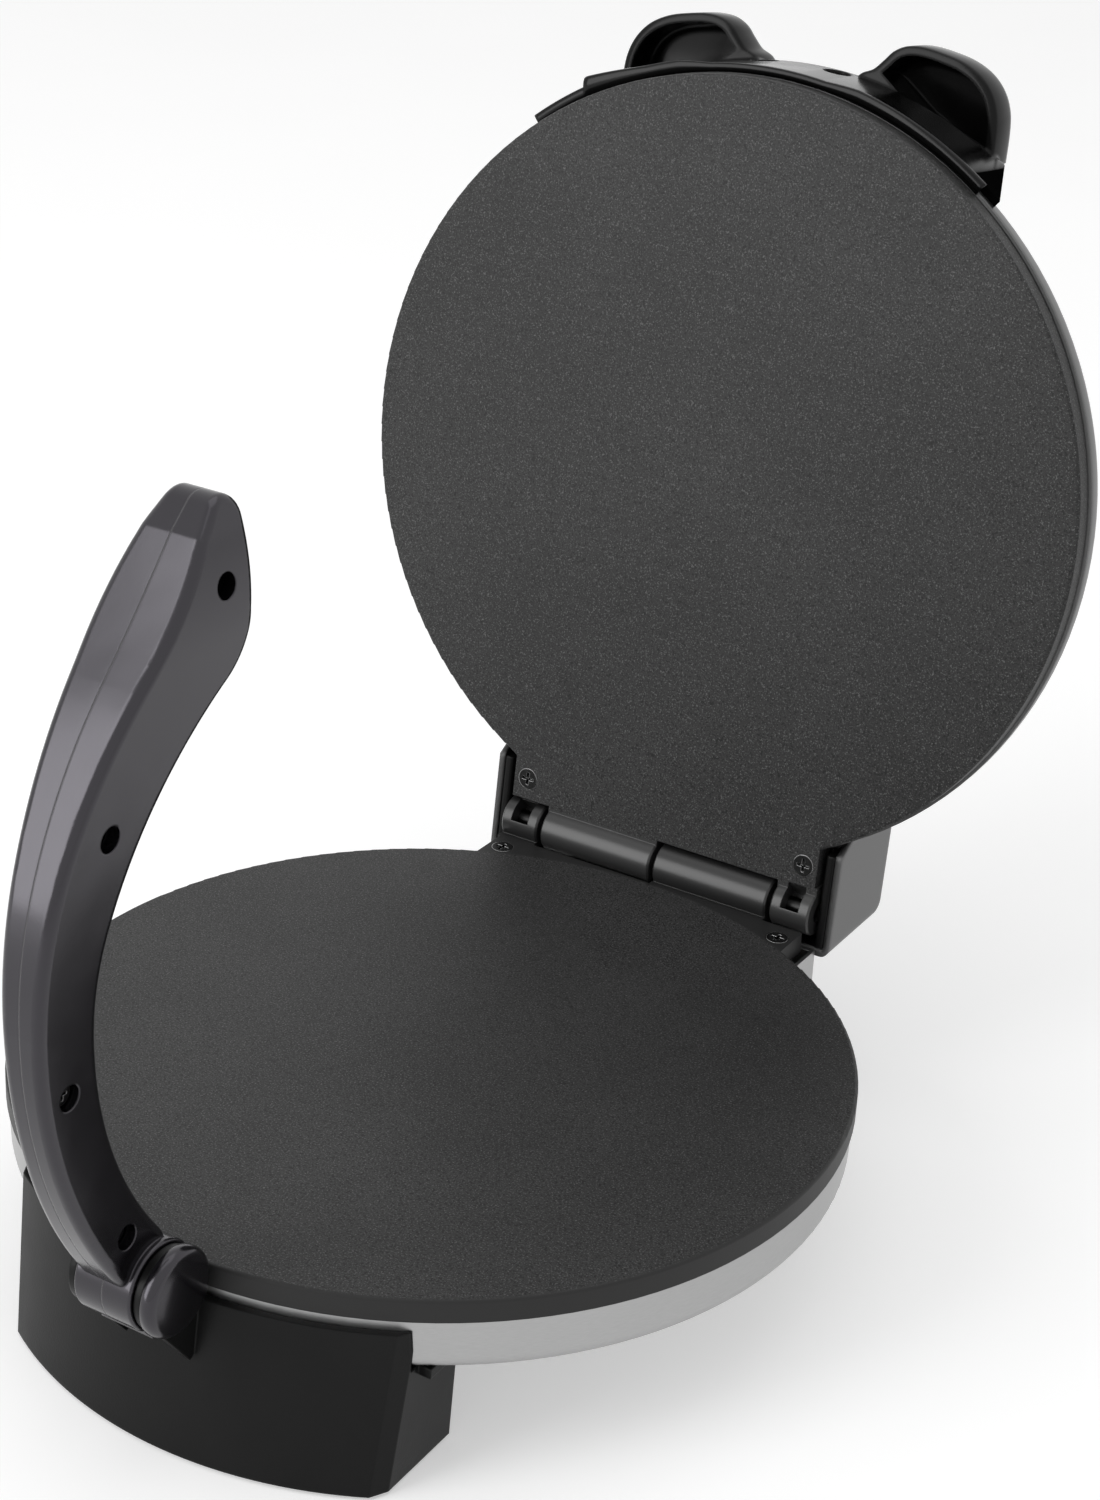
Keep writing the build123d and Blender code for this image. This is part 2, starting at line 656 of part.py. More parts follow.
def clamp_post_places():
    places = []
    for angle in clamp_angles:
        for r in (element_radius - clamp_spread, element_radius + clamp_spread):
            places.append((r * math.cos(math.radians(angle)), r * math.sin(math.radians(angle))))
    return places


def plate_features(plate):
    """Posts under the plate for the element's clamps, and the groove the tube lies in."""
    for x, y in clamp_post_places():
        plate += z_cylinder(x, y, 3.4, clamp_bottom, web_low)
    shield_low = web_low - shield_depth + reflector_thickness
    for x, y in shield_post_places():
        plate += z_cylinder(x, y, 3.4, shield_low, web_low)
        plate -= z_cylinder(x, y, clamp_screw_radius, shield_low - 1, shield_low + 5)
    plate -= tube_along(element_tube)
    plate -= element_ends(element_tube + 0.9, 15)
    for x, y in clamp_post_places():
        plate -= z_cylinder(x, y, clamp_screw_radius, clamp_bottom - 1, clamp_bottom + 5)
    return plate


def make_clamps():
    clamps = []
    for angle in clamp_angles:
        strip = Pos(element_radius, 0, clamp_bottom - 0.6) * Box(2 * clamp_spread + 8, 8, 1.2)
        strip = fillet(strip.edges().filter_by(Axis.Z), 2)
        clamps.append(Rot(0, 0, angle) * strip)
    for x, y in clamp_post_places():
        hole = z_cylinder(x, y, clamp_screw_radius + 0.2, clamp_bottom - 3, clamp_bottom + 3)
        clamps = [clamp - hole for clamp in clamps]
    return clamps


def make_clamp_screws():
    screws = []
    for x, y in clamp_post_places():
        low = clamp_bottom - 1.2
        screw = z_cylinder(x, y, clamp_screw_radius, low, clamp_bottom + 4)
        screw += z_cylinder(x, y, 2.4, low - 1.4, low)
        screw -= Pos(x, y, low - 1.4) * Rot(180, 0, 0) * cross_recess(3.0, 0.8)
        screws.append(screw)
    return screws


def make_thermostat():
    """Bimetal disc thermostat under the middle of the plate, with two blade terminals."""
    top = web_low
    body = z_cylinder(0, 0, 8.2, top - 8.0, top)
    body += z_cylinder(0, 0, 10.5, top - 1.2, top)
    for x in (-4, 4):
        body += box_between((x - 0.4, -3.1, top - 15), (x + 0.4, 3.1, top - 7.5))
    return body


def make_thermal_fuse():
    """Thermal fuse in its saddle under the plate."""
    top = web_low
    saddle = box_between((24, -8, top - 4.4), (33, 8, top))
    saddle = fillet(saddle.edges().filter_by(Axis.Y), 1.2)
    fuse_body = y_cylinder(28.5, top - 2.4, 1.5, -15, 15)
    return saddle + fuse_body


def make_reflector():
    """A dished heat shield: its rim stands on the plate, around the heated parts."""
    top = web_low
    low = top - shield_depth
    tray = z_cylinder(0, 0, reflector_radius, low, top)
    tray = fillet(tray.faces().sort_by(Axis.Z)[0].edges(), 2.0)
    tray -= z_cylinder(0, 0, reflector_radius - reflector_thickness, low + reflector_thickness, top + 1)
    tray -= z_cylinder(0, 0, 13.0, low - 1, top + 1)
    for x, y in standoff_places():
        if y < 0:
            tray -= z_cylinder(x, y, standoff_radius + 2.4, low - 1, top + 1)
    for x, y in shield_post_places():
        tray -= z_cylinder(x, y, clamp_screw_radius + 0.2, low - 1, top + 1)
    return tray - box_between((-44, 73, low - 1), (44, 130, top + 1))


def shield_post_places():
    """Three posts under the plate hold the heat shield."""
    return [(60 * math.cos(math.radians(a)), 60 * math.sin(math.radians(a))) for a in (90, 210, 330)]


def make_shield_screws():
    low = web_low - shield_depth
    screws = []
    for x, y in shield_post_places():
        screw = z_cylinder(x, y, clamp_screw_radius, low, low + 5)
        screw += z_cylinder(x, y, 2.4, low - 1.4, low)
        screws.append(screw - Pos(x, y, low - 1.4) * Rot(180, 0, 0) * cross_recess(3.0, 0.8))
    return screws


def pan_screw(x, y, under, length):
    """A pan head screw driven upward, its head under the given height."""
    screw = z_cylinder(x, y, screw_radius, under, under + length)
    head = z_cylinder(x, y, screw_head_radius, under - 2.2, under)
    head = fillet(head.faces().sort_by(Axis.Z)[0].edges(), 0.9)
    return screw + head - Pos(x, y, under - 2.2) * Rot(180, 0, 0) * cross_recess(4.4, 1.2)


def deck_screw(x, y, length):
    """A pan head screw driven downward through the pan's floor into a foot."""
    screw = z_cylinder(x, y, screw_radius - 0.05, pan_floor - length, pan_floor)
    head = z_cylinder(x, y, screw_head_radius, pan_floor, pan_floor + 2.2)
    head = fillet(head.faces().sort_by(Axis.Z)[-1].edges(), 0.9)
    return screw + head - Pos(x, y, pan_floor + 2.2) * cross_recess(4.4, 1.2)


def lower_posts():
    """Hexagon posts between the pan's floor and the plate; the front two have a stud on top."""
    posts = []
    for x, y in standoff_places():
        top = plate_bottom
        post = extrude(Plane.XY.offset(pan_floor) * Pos(x, y) * RegularPolygon(standoff_radius, 6),
                       amount=top - pan_floor)
        post -= z_cylinder(x, y, screw_radius, pan_floor - 1, pan_floor + 6)
        if y < 0:
            post += z_cylinder(x, y, screw_radius - 0.05, top - 1, top + 3.4)
        else:
            post -= z_cylinder(x, y, screw_radius, top - 6.5, top + 1)
        posts.append(post)
    return posts


# ---------------------------------------------------------------- terminal block, wires
def make_terminal_block():
    low = deck_bottom - 12
    body = box_between((-21, terminal_y - 6, low), (21, terminal_y + 6, deck_bottom))
    for x in (-14, 0, 14):
        body += box_between((x - 5.5, terminal_y - 3.5, low - 3), (x + 5.5, terminal_y + 3.5, low))
        body -= z_cylinder(x, terminal_y, 2.2, low - 4, low + 3)
        body -= y_cylinder(x, low + 4.5, 1.9, terminal_y - 7, terminal_y + 7)
    return body


def make_terminal_screws():
    low = deck_bottom - 12
    screws = []
    for x in (-14, 0, 14):
        screw = z_cylinder(x, terminal_y, 2.2, low - 1, low + 3)
        screw -= Pos(x, terminal_y, low - 1) * Box(5, 0.7, 1.6)
        screws.append(screw)
    return screws


def wire_run(points, radius):
    """A lead along straight runs with rounded corners."""
    path = FilletPolyline(*points, radius=wire_bend)
    start = Plane(origin=points[0], z_dir=path % 0)
    return sweep(start * Circle(radius), path=path)


def base_wires():
    """Leads from the terminal block up to the lower element's two pins."""
    _, a, b, a_end, b_end = element_path()
    low = deck_bottom - 7.5
    reach = 14.6
    way_a = ((a_end[0] - a[0]) / element_lead, (a_end[1] - a[1]) / element_lead)
    way_b = ((b_end[0] - b[0]) / element_lead, (b_end[1] - b[1]) / element_lead)
    pin_a = (a_end[0] + way_a[0] * reach, a_end[1] + way_a[1] * reach, element_z)
    pin_b = (b_end[0] + way_b[0] * reach, b_end[1] + way_b[1] * reach, element_z)
    runs = []
    for side, pin in ((-1, pin_a), (1, pin_b)):
        turn = (side * 3.2, wire_hole_y)
        route = [(side * 14, terminal_y - 6, low), (*turn, low + 1.5), (*turn, pan_floor + 4), pin]
        runs.append(wire_run(route, 1.1))
    return runs


# ---------------------------------------------------------------- lid shell
def dome_solid(extra):
    """The round lid as a solid, grown or shrunk by the given amount."""
    centre_r = lid_radius - lid_shoulder_radius
    lean = math.radians(lid_shoulder_lean)
    shoulder = lid_shoulder_radius + extra
    join_r = centre_r + shoulder * math.cos(lean)
    join_z = lid_shoulder_start + shoulder * math.sin(lean)
    middle = lean / 2
    mid_r = centre_r + shoulder * math.cos(middle)
    mid_z = lid_shoulder_start + shoulder * math.sin(middle)
    dome_radius = centre_r / math.cos(lean) + shoulder
    dome_centre = lid_shoulder_start - centre_r * math.tan(lean)
    half = (math.pi / 2 + lean) / 2
    arc_r = dome_radius * math.cos(half)
    arc_z = dome_centre + dome_radius * math.sin(half)
    edge = centre_r + shoulder
    low = lid_rim if extra >= 0 else lid_rim - 5
    outline = [
        Line((0, low), (edge, low)),
        Line((edge, low), (edge, lid_shoulder_start)),
        ThreePointArc((edge, lid_shoulder_start), (mid_r, mid_z), (join_r, join_z)),
        ThreePointArc((join_r, join_z), (arc_r, arc_z), (0, dome_centre + dome_radius)),
        Line((0, dome_centre + dome_radius), (0, low)),
    ]
    return revolve(Plane.XZ * make_face(outline), axis=Axis.Z)


def cover_solid(inset, half_width):
    """The square back of the lid over the hinge, as a solid."""
    low = cover_bottom if inset == 0 else cover_bottom - 5
    foot = cover_foot_y - inset
    top = cover_top - inset
    corner = max(cover_corner - inset, 1)
    back_top = (cover_top_y - inset, top)
    outline = Polygon((cover_front - 40, 30 - inset), (cover_front - 40, 40.4 - inset),
                      (cover_reach - 1.9, top), back_top, (foot, low), (cover_reach, low),
                      (cover_reach - 4.9, lid_rim), (cover_front + 20, lid_rim + 6), align=None)
    outline = fillet(outline.vertices().sort_by_distance(back_top)[0], corner)
    return extrude(Plane.YZ * outline, amount=half_width, both=True)


def make_lid_shell():
    box = cover_solid(0, cover_half_width)
    long_top = box.edges().filter_by(lambda e: e.length > 20 and abs(abs(e.center().X) - cover_half_width) < 0.1
                                     and e.center().Z > 38)
    box = fillet(long_top, 3.0)
    outer = dome_solid(0) + box
    inner = dome_solid(-lid_wall) + cover_solid(lid_wall, cover_half_width - lid_wall)
    shell = outer - inner
    for x, y in standoff_places():
        boss = z_cylinder(x, y, 6.0, boss_low, 60) & outer
        shell += boss
        shell -= z_cylinder(x, y, screw_radius, boss_low - 1, boss_low + 7)
    for x in (-handle_screw_x, handle_screw_x):
        shell -= z_cylinder(x, bracket_screw_y, 1.5, 20, 60)
    shell -= z_cylinder(0, bracket_screw_y, 3.0, 20, 60)
    return shell


def make_liner():
    """Heat resistant cheeks between the hinge and the metal cover, joined by a bar at the top."""
    top = cover_top - lid_wall
    outline = Polygon((liner_front, cover_bottom), (liner_front, top - 6), (liner_front + 7.8, top),
                      (cover_top_y - 8.9, top), (cover_top_y - 1.9, top - 7),
                      (cover_foot_y - 2.8, cover_bottom), align=None)
    cheek = extrude(Plane.YZ.offset(cover_half_width - lid_wall - liner_wall) * outline,
                    amount=liner_wall - 0.05, dir=(1, 0, 0))
    bottom_edges = cheek.edges().filter_by(Axis.Z, reverse=True).filter_by(
        lambda e: abs(e.center().Z - cover_bottom) < 0.1 and e.length > 20)
    cheek = fillet(bottom_edges, 1.2)
    bar = box_between((-cover_half_width + lid_wall + 1, cover_top_y - 18.9, top - 3),
                      (cover_half_width - lid_wall - 1, cover_top_y - 10.9, top))
    return fuse(both_sides(cheek)) + bar


def upper_posts():
    """Hexagon posts between the upper plate and the bosses in the lid."""
    posts = []
    for x, y in standoff_places():
        post = extrude(Plane.XY.offset(upper_back) * Pos(x, y) * RegularPolygon(standoff_radius, 6),
                       amount=boss_low - upper_back)
        post += z_cylinder(x, y, screw_radius - 0.05, boss_low - 1, boss_low + 6)
        if y < 0:
            post += z_cylinder(x, y, screw_radius - 0.05, upper_back - 3.4, upper_back + 1)
        else:
            post -= z_cylinder(x, y, screw_radius, upper_back - 1, upper_back + 6.5)
        posts.append(post)
    return posts


# ---------------------------------------------------------------- handle with its two finger lips
def sector(half_angle, low, high):
    """A wedge around the front, from the middle axis outwards."""
    reach = 400
    x = reach * math.sin(math.radians(half_angle))
    y = -reach * math.cos(math.radians(half_angle))
    return extrude(Plane.XY.offset(low) * Polygon((0, 0), (-x, y), (x, y), align=None), amount=high - low)


def handle_turned(inset):
    """The handle's bow as a full ring; the inset one is its inside."""
    outer = handle_radius - inset
    top = handle_top - inset
    low = lid_rim if inset == 0 else lid_rim - 3
    outline = [
        Line((90, low), (outer, low)),
        Line((outer, low), (outer, top - 7)),
        ThreePointArc((outer, top - 7), (outer - 2.2, top - 2.1), (outer - 7, top)),
        Line((outer - 7, top), (104, top - 3)),
        ThreePointArc((104, top - 3), (99.5, top - 5.5), (97, top - 11)),
        Line((97, top - 11), (90, top - 11)),
        Line((90, top - 11), (90, low)),
    ]
    return revolve(Plane.XZ * make_face(outline), axis=Axis.Z)


def ear_shape(inset):
    """One finger lip from above, from the valley to the side of the handle."""
    corners = [(24.5, -127.5), (34.5, -141.8), (57.5, -137.2), (67.0, -123.0), (66.8, -110.0), (24.5, -124.5)]
    outline = Polygon(*corners, align=None)
    for corner, radius in ((corners[1], 8.0), (corners[2], 18.0), (corners[3], 14.0)):
        vertex = outline.vertices().sort_by_distance(corner)[0]
        outline = fillet(vertex, radius)
    if inset:
        outline = offset(outline, amount=-inset, kind=Kind.INTERSECTION)
    return outline


def ear_solid():
    """The outside of one finger lip: flared at the rim and rounded over at the top."""
    lip = extrude(Plane.XY.offset(ear_rim_z) * ear_shape(0), amount=ear_height)
    top_edges = lip.faces().sort_by(Axis.Z)[-1].edges()
    lip = fillet(top_edges.filter_by(lambda e: e.center().Y < -119), ear_top_round)
    rim_edges = lip.faces().sort_by(Axis.Z)[0].edges()
    return fillet(rim_edges.filter_by(lambda e: e.center().Y < -119), ear_rim_round)


def make_handle():
    wedge = sector(handle_angle, 0, 70)
    lips = both_sides(ear_solid())
    outer = (handle_turned(0) & wedge) + lips
    inner = handle_turned(ear_wall) & sector(handle_angle - 1.4, 0, 70)
    screw_bosses = [y_cylinder(x, valley_screw_z, valley_hole_radius + 2.4, -handle_radius + 1, bracket_front)
                    for x in (-valley_screw_x, valley_screw_x)]
    handle = outer - (inner - screw_bosses)
    hollow = extrude(Plane.XY.offset(ear_rim_z - 1) * ear_shape(ear_wall), amount=ear_height - ear_wall)
    hollow = fillet(hollow.faces().sort_by(Axis.Z)[-1].edges().filter_by(lambda e: e.center().Y < -121), 4.0)
    for cut in both_sides(hollow):
        handle -= cut
    handle -= dome_solid(0)
    side_low = sector(60, 0, handle_skirt_bottom) - sector(handle_lip_angle, -1, handle_skirt_bottom + 1)
    handle -= side_low
    for x in (-valley_screw_x, valley_screw_x):
        handle -= y_cylinder(x, valley_screw_z, valley_hole_radius, -handle_radius - 12, hole_floor)
        handle -= y_cylinder(x, valley_screw_z, screw_radius + 0.2, hole_floor - 1, bracket_front + 1)
    for x in (-lamp_x, lamp_x):
        handle -= z_cylinder(x, lamp_y, lamp_radius, 35, 70)
    return handle


def make_handle_bracket():
    """Steel angle on the lid that the handle is screwed to."""
    upright = box_between((-22, bracket_front, 20), (22, bracket_front + 1.5, 38))
    foot = box_between((-22, bracket_front, 20), (22, -102, 60)) & (dome_solid(1.5) - dome_solid(0))
    bracket = (upright - dome_solid(0)) + foot
    for x in (-valley_screw_x, valley_screw_x):
        bracket -= y_cylinder(x, valley_screw_z, screw_radius, bracket_front - 1, bracket_front + 3)
    for x in (-handle_screw_x, handle_screw_x):
        bracket -= z_cylinder(x, bracket_screw_y, 1.5, 20, 60)
    bracket -= z_cylinder(0, bracket_screw_y, 3.0, 20, 60)
    return bracket


def make_handle_screws():
    screws = []
    for x in (-valley_screw_x, valley_screw_x):
        screw = y_cylinder(x, valley_screw_z, screw_radius, hole_floor, bracket_front + 2.5)
        screw += y_cylinder(x, valley_screw_z, screw_head_radius, hole_floor - 2.2, hole_floor)
        recess = Pos(x, hole_floor - 2.2, valley_screw_z) * Rot(90, 0, 0) * cross_recess(4.4, 1.2)
        screws.append(screw - recess)
    return screws


def make_bracket_rivets():
    rivets = []
    for x in (-handle_screw_x, handle_screw_x):
        rivet = z_cylinder(x, bracket_screw_y, 1.45, 26, 34)
        rivet += z_cylinder(x, bracket_screw_y, 2.8, 33.2, 34.5)
        rivets.append(rivet + z_cylinder(x, bracket_screw_y, 2.6, 25.6, 27.2))
    return rivets


def make_lamp_lenses():
    lenses = []
    for x in (-lamp_x, lamp_x):
        lens = z_cylinder(x, lamp_y, lamp_radius - 0.05, handle_top - 6, handle_top - 1)
        lens = fillet(lens.faces().sort_by(Axis.Z)[-1].edges(), 1.2)
        lenses.append(lens)
    return lenses


# ---------------------------------------------------------------- assembly
def open_lid(piece):
    return piece.rotate(hinge_axis, -lid_open_angle)


def flip_up(piece):
    """The lower half's heating parts, turned over for the upper plate."""
    return mirror(piece, about=Plane.XY).moved(Pos(0, 0, plate_gap))


def make_lamps():
    return [z_cylinder(x, lamp_y, 2.2, 34.2, handle_top - 6) for x in (-lamp_x, lamp_x)]


def heat_wires():
    """Leads from one end of the element and from the shield's middle to the thermostat."""
    _, _, b, _, b_end = element_path()
    deep = web_low - 14.0
    way = ((b_end[0] - b[0]) / element_lead, (b_end[1] - b[1]) / element_lead)
    pin = (b_end[0] + way[0] * 12, b_end[1] + way[1] * 12, element_z - 2.4)
    return [wire_run([pin, (pin[0], 87, deep), (10, 50, deep), (5.6, 12, deep)], 1.0)]


def make_rear_cover():
    """The plate that closes the room of the terminal block from below."""
    cover = box_between((-25, rear_foot_front + foot_wall + 0.3, foot_sole),
                        (25, rear_housing_end - foot_wall - 0.3, foot_sole + 2))
    for x, y in cover_screw_places():
        cover -= z_cylinder(x, y, screw_radius + 0.2, foot_sole - 1, foot_sole + 3)
    return cover


def cover_screw_places():
    """Two screws hold the cover to posts in the rear foot."""
    return [(-16, rear_foot_front + 12), (16, rear_foot_front + 12)]


def make_cover_screws(places):
    screws = []
    for x, y in places:
        screw = z_cylinder(x, y, screw_radius - 0.05, foot_sole, foot_sole + 12)
        screw += z_cylinder(x, y, screw_head_radius, foot_sole - 1.0, foot_sole)
        screws.append(screw - Pos(x, y, foot_sole - 1.0) * Rot(180, 0, 0) * cross_recess(4.4, 0.9))
    return screws


def turned_over(pieces):
    return [flip_up(piece) for piece in pieces]


lower_plate = plate_features(make_lower_plate())
upper_plate = flip_up(plate_features(flip_up(make_upper_plate())))
lever_left, lever_right = make_lever_halves()

base_parts = {
    "base_pan": [make_base_pan()],
    "lower_plate": [lower_plate],
    "lower_plate_screws": [plate_screw(x, y, 6.0 + plate_rim_depth) for x, y in standoff_places() if y > 0],
    "lower_posts": lower_posts(),
    "post_screws": [pan_screw(x, y, pan_bottom, 7.0) for x, y in standoff_places()],
    "lower_element": [make_element()],
    "lower_element_clamps": make_clamps(),
    "lower_clamp_screws": make_clamp_screws(),
    "lower_heat_shield": [make_reflector()],
    "lower_shield_screws": make_shield_screws(),
    "lower_thermostat": [make_thermostat()],
    "lower_thermal_fuse": [make_thermal_fuse()],
    "front_foot": [make_front_foot()],
    "rear_foot": [make_rear_foot()],
    "foot_screws": [deck_screw(x, y, 14.0) for x, y in foot_screw_places()],
    "rear_foot_cover": [make_rear_cover()],
    "rear_cover_screws": make_cover_screws(cover_screw_places()),
    "front_foot_cover": [make_front_cover()],
    "front_cover_screws": make_cover_screws(front_cover_screw_places()),
    "rubber_feet": make_rubber_feet(),
    "cord_gland": [make_cord_gland()],
    "terminal_block": [make_terminal_block()],
    "terminal_screws": make_terminal_screws(),
    "base_wires": base_wires() + heat_wires(),
    "hinge_pin": [make_hinge_pin()],
    "lever_pivot_pin": [make_pivot_pin()],
    "pivot_clip": [make_pivot_clip()],
    "pivot_cap": [make_pivot_cap()],
}
lid_parts = {
    "upper_plate": [upper_plate],
    "upper_plate_screws": turned_over([plate_screw(x, y, 6.0 + plate_rim_depth)
                                       for x, y in standoff_places() if y > 0]),
    "upper_posts": upper_posts(),
    "upper_element": turned_over([make_element()]),
    "upper_element_clamps": turned_over(make_clamps()),
    "upper_clamp_screws": turned_over(make_clamp_screws()),
    "upper_heat_shield": turned_over([make_reflector()]),
    "upper_shield_screws": turned_over(make_shield_screws()),
    "upper_thermostat": turned_over([make_thermostat()]),
    "upper_thermal_fuse": turned_over([make_thermal_fuse()]),
    "lid_wires": turned_over(heat_wires()),
    "lid_shell": [make_lid_shell()],
    "hinge_liner": [make_liner()],
    "handle": [make_handle()],
    "handle_bracket": [make_handle_bracket()],
    "handle_screws": make_handle_screws(),
    "bracket_rivets": make_bracket_rivets(),
    "lamp_lenses": make_lamp_lenses(),
    "lamps": make_lamps(),
}
lever_parts = {
    "lever_left_shell": [lever_left],
    "lever_right_shell": [lever_right],
    "lever_screws": make_lever_screws(),
    "lever_spine": [make_lever_spine()],
    "lever_sleeve": [make_pivot_sleeve()],
}

pieces = dict(base_parts)
pieces.update({name: [open_lid(piece) for piece in group] for name, group in lid_parts.items()})
pieces.update(lever_parts)

box = Compound(children=[piece for group in pieces.values() for piece in group]).bounding_box()
shift = Pos(-(box.min.X + box.max.X) / 2, -(box.min.Y + box.max.Y) / 2, -box.min.Z)
os.makedirs("parts", exist_ok=True)
for name, group in pieces.items():
    solids = [solid for piece in group for solid in piece.moved(shift).solids()]
    export_step(solids[0] if len(solids) == 1 else Compound(children=solids), "parts/" + name + ".step")
print("shift", shift.position, "box", box.size)
print("hinge", (0, hinge_y + shift.position.Y, hinge_z + shift.position.Z))
print("pivot", (0, pivot_y + shift.position.Y, pivot_z + shift.position.Z))
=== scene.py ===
import json
import math

import bmesh
import bpy
from mathutils import Matrix, Vector


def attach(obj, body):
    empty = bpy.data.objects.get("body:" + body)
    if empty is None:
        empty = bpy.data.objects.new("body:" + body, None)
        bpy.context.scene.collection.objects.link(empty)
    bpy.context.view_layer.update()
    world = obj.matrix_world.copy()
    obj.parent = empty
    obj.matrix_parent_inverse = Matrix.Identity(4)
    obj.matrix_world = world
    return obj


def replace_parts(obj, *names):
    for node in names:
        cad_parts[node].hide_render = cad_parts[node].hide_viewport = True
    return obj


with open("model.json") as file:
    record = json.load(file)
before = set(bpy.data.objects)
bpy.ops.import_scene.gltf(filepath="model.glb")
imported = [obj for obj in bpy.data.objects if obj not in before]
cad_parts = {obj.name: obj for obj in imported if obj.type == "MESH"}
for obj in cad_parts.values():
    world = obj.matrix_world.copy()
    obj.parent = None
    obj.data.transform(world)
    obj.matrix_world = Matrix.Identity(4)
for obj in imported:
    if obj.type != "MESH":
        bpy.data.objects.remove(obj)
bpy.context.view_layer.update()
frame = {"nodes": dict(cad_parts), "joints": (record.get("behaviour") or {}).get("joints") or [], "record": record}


# ---------------------------------------------------------------- places, in metres
# The drawing's own origin is the middle of the lower plate's face.
nodes = frame["nodes"]
joints = {j["name"]: j for j in frame["joints"]}
HINGE = Vector(joints["lid_hinge"]["pos_m"])
PIVOT = Vector(joints["lever_pivot"]["pos_m"])
HINGE_Y, HINGE_Z = 0.1357, 0.0038                 # the hinge's axis in the drawing
SHIFT = HINGE - Vector((0.0, HINGE_Y, HINGE_Z))   # from the drawing to the shared frame
OPEN_DEGREES = 96.4                               # how far the lid stands open at rest

# ---------------------------------------------------------------- node materials
BLACK, WHITE = (0, 0, 0), (1, 1, 1)
BARREL_IN, BARREL_OUT = 0.0080, 0.0090   # from the hinge's axis: the coat changes there
WALL_IN, WALL_OUT = 0.1256, 0.1266       # from the plate's middle: its wall, which is given a painted shade, starts there
SPECK_LIGHTER, PIT_DARKER = 46, 16       # than the coat, in grey levels
SEAM_IN, SEAM_OUT = 0.00012, 0.00030     # half the width of a parting line
DULL_BLEND = 0.004                       # over which a glossy plastic turns dull
EDGE_LIGHT_WIDTH = 0.0005                      # of the painted highlight along the edges of metal


class Tree:
    """A small writer for node materials."""

    def __init__(self, name):
        self.material = bpy.data.materials.new(name)
        self.material.use_nodes = True
        self.nodes = self.material.node_tree.nodes
        self.links = self.material.node_tree.links
        self.shader = self.nodes["Principled BSDF"]
        self.place = self.nodes.new("ShaderNodeTexCoord").outputs["Object"]

    def add(self, kind, links=(), **values):
        """A new node, with values for its settings or sockets and links into its sockets."""
        node = self.nodes.new(kind)
        for key, value in values.items():
            if hasattr(node, key):
                setattr(node, key, value)
            else:
                node.inputs[key.replace("_", " ")].default_value = value
        for socket, source in links:
            self.links.new(source, node.inputs[socket])
        return node

    def noise(self, scale, detail=3.0, rough=0.5, stretch=(1, 1, 1)):
        """A cloudy pattern, finer along an axis that has a larger stretch."""
        scaled = self.add("ShaderNodeMapping", [("Vector", self.place)], Scale=stretch).outputs[0]
        node = self.add("ShaderNodeTexNoise", [("Vector", scaled)], Scale=scale, Detail=detail,
                        Roughness=rough)
        return node.outputs["Fac"]

    def ramp(self, source, stops):
        """A value turned into a colour between two stops."""
        node = self.add("ShaderNodeValToRGB", [("Fac", source)])
        for element, (place, colour) in zip(node.color_ramp.elements, stops):
            element.position = place
            element.color = (*colour, 1.0)
        return node.outputs["Color"]

    def mix(self, factor, a, b):
        """Colour a turning into colour b; each value is a socket or a plain value."""
        node = self.nodes.new("ShaderNodeMix")
        node.data_type = "RGBA"
        for index, value in ((0, factor), (6, a), (7, b)):
            if isinstance(value, bpy.types.NodeSocket):
                self.links.new(value, node.inputs[index])
            elif index == 0:
                node.inputs[0].default_value = value
            else:
                node.inputs[index].default_value = (*value, 1.0)
        return node.outputs[2]

    def range(self, source, low, high):
        """0 to 1 turned into low to high."""
        node = self.add("ShaderNodeMapRange", [("Value", source)], To_Min=low, To_Max=high)
        return node.outputs[0]

    def rise(self, source, low, high):
        """0 below low, 1 above high."""
        node = self.add("ShaderNodeMapRange", [("Value", source)], From_Min=low, From_Max=high)
        return node.outputs[0]

    def product(self, a, b):
        return self.add("ShaderNodeMath", [(0, a), (1, b)], operation="MULTIPLY").outputs[0]

    def distance(self, centre, axes):
        """Distance from a place, along the axes that are 1."""
        away = self.add("ShaderNodeVectorMath", [(0, self.place)], operation="SUBTRACT")
        away.inputs[1].default_value = centre
        kept = self.add("ShaderNodeVectorMath", [(0, away.outputs[0])], operation="MULTIPLY")
        kept.inputs[1].default_value = axes
        length = self.add("ShaderNodeVectorMath", [(0, kept.outputs[0])], operation="LENGTH")
        return length.outputs["Value"]

    def from_middle(self):
        """Distance from the plane that halves the product, left from right."""
        x = self.add("ShaderNodeSeparateXYZ", [("Vector", self.place)]).outputs[0]
        return self.add("ShaderNodeMath", [(0, x)], operation="ABSOLUTE").outputs[0]

    def eased(self, radius):
        """Edges that catch the light as if they were rounded by this radius."""
        return self.add("ShaderNodeBevel", samples=6, Radius=radius).outputs[0]

    def bumped(self, height, normal, strength, depth):
        """A surface direction, made uneven by a height."""
        node = self.add("ShaderNodeBump", [("Height", height), ("Normal", normal)],
                        Strength=strength, Distance=depth)
        return node.outputs[0]

    def link(self, source, socket):
        """Let a pattern drive one of the surface's values."""
        self.links.new(source, self.shader.inputs[socket])

    def set(self, **values):
        """Plain values of the whole surface."""
        for key, value in values.items():
            self.shader.inputs[key.replace("_", " ")].default_value = value


def grey(value):
    """An sRGB grey level, 0 to 255, as a linear colour."""
    v = value / 255
    linear = v / 12.92 if v <= 0.04045 else ((v + 0.055) / 1.055) ** 2.4
    return (linear, linear, linear)


def tinted(level, tint):
    """A grey level with a colour cast."""
    return tuple(c * k for c, k in zip(grey(level), tint))


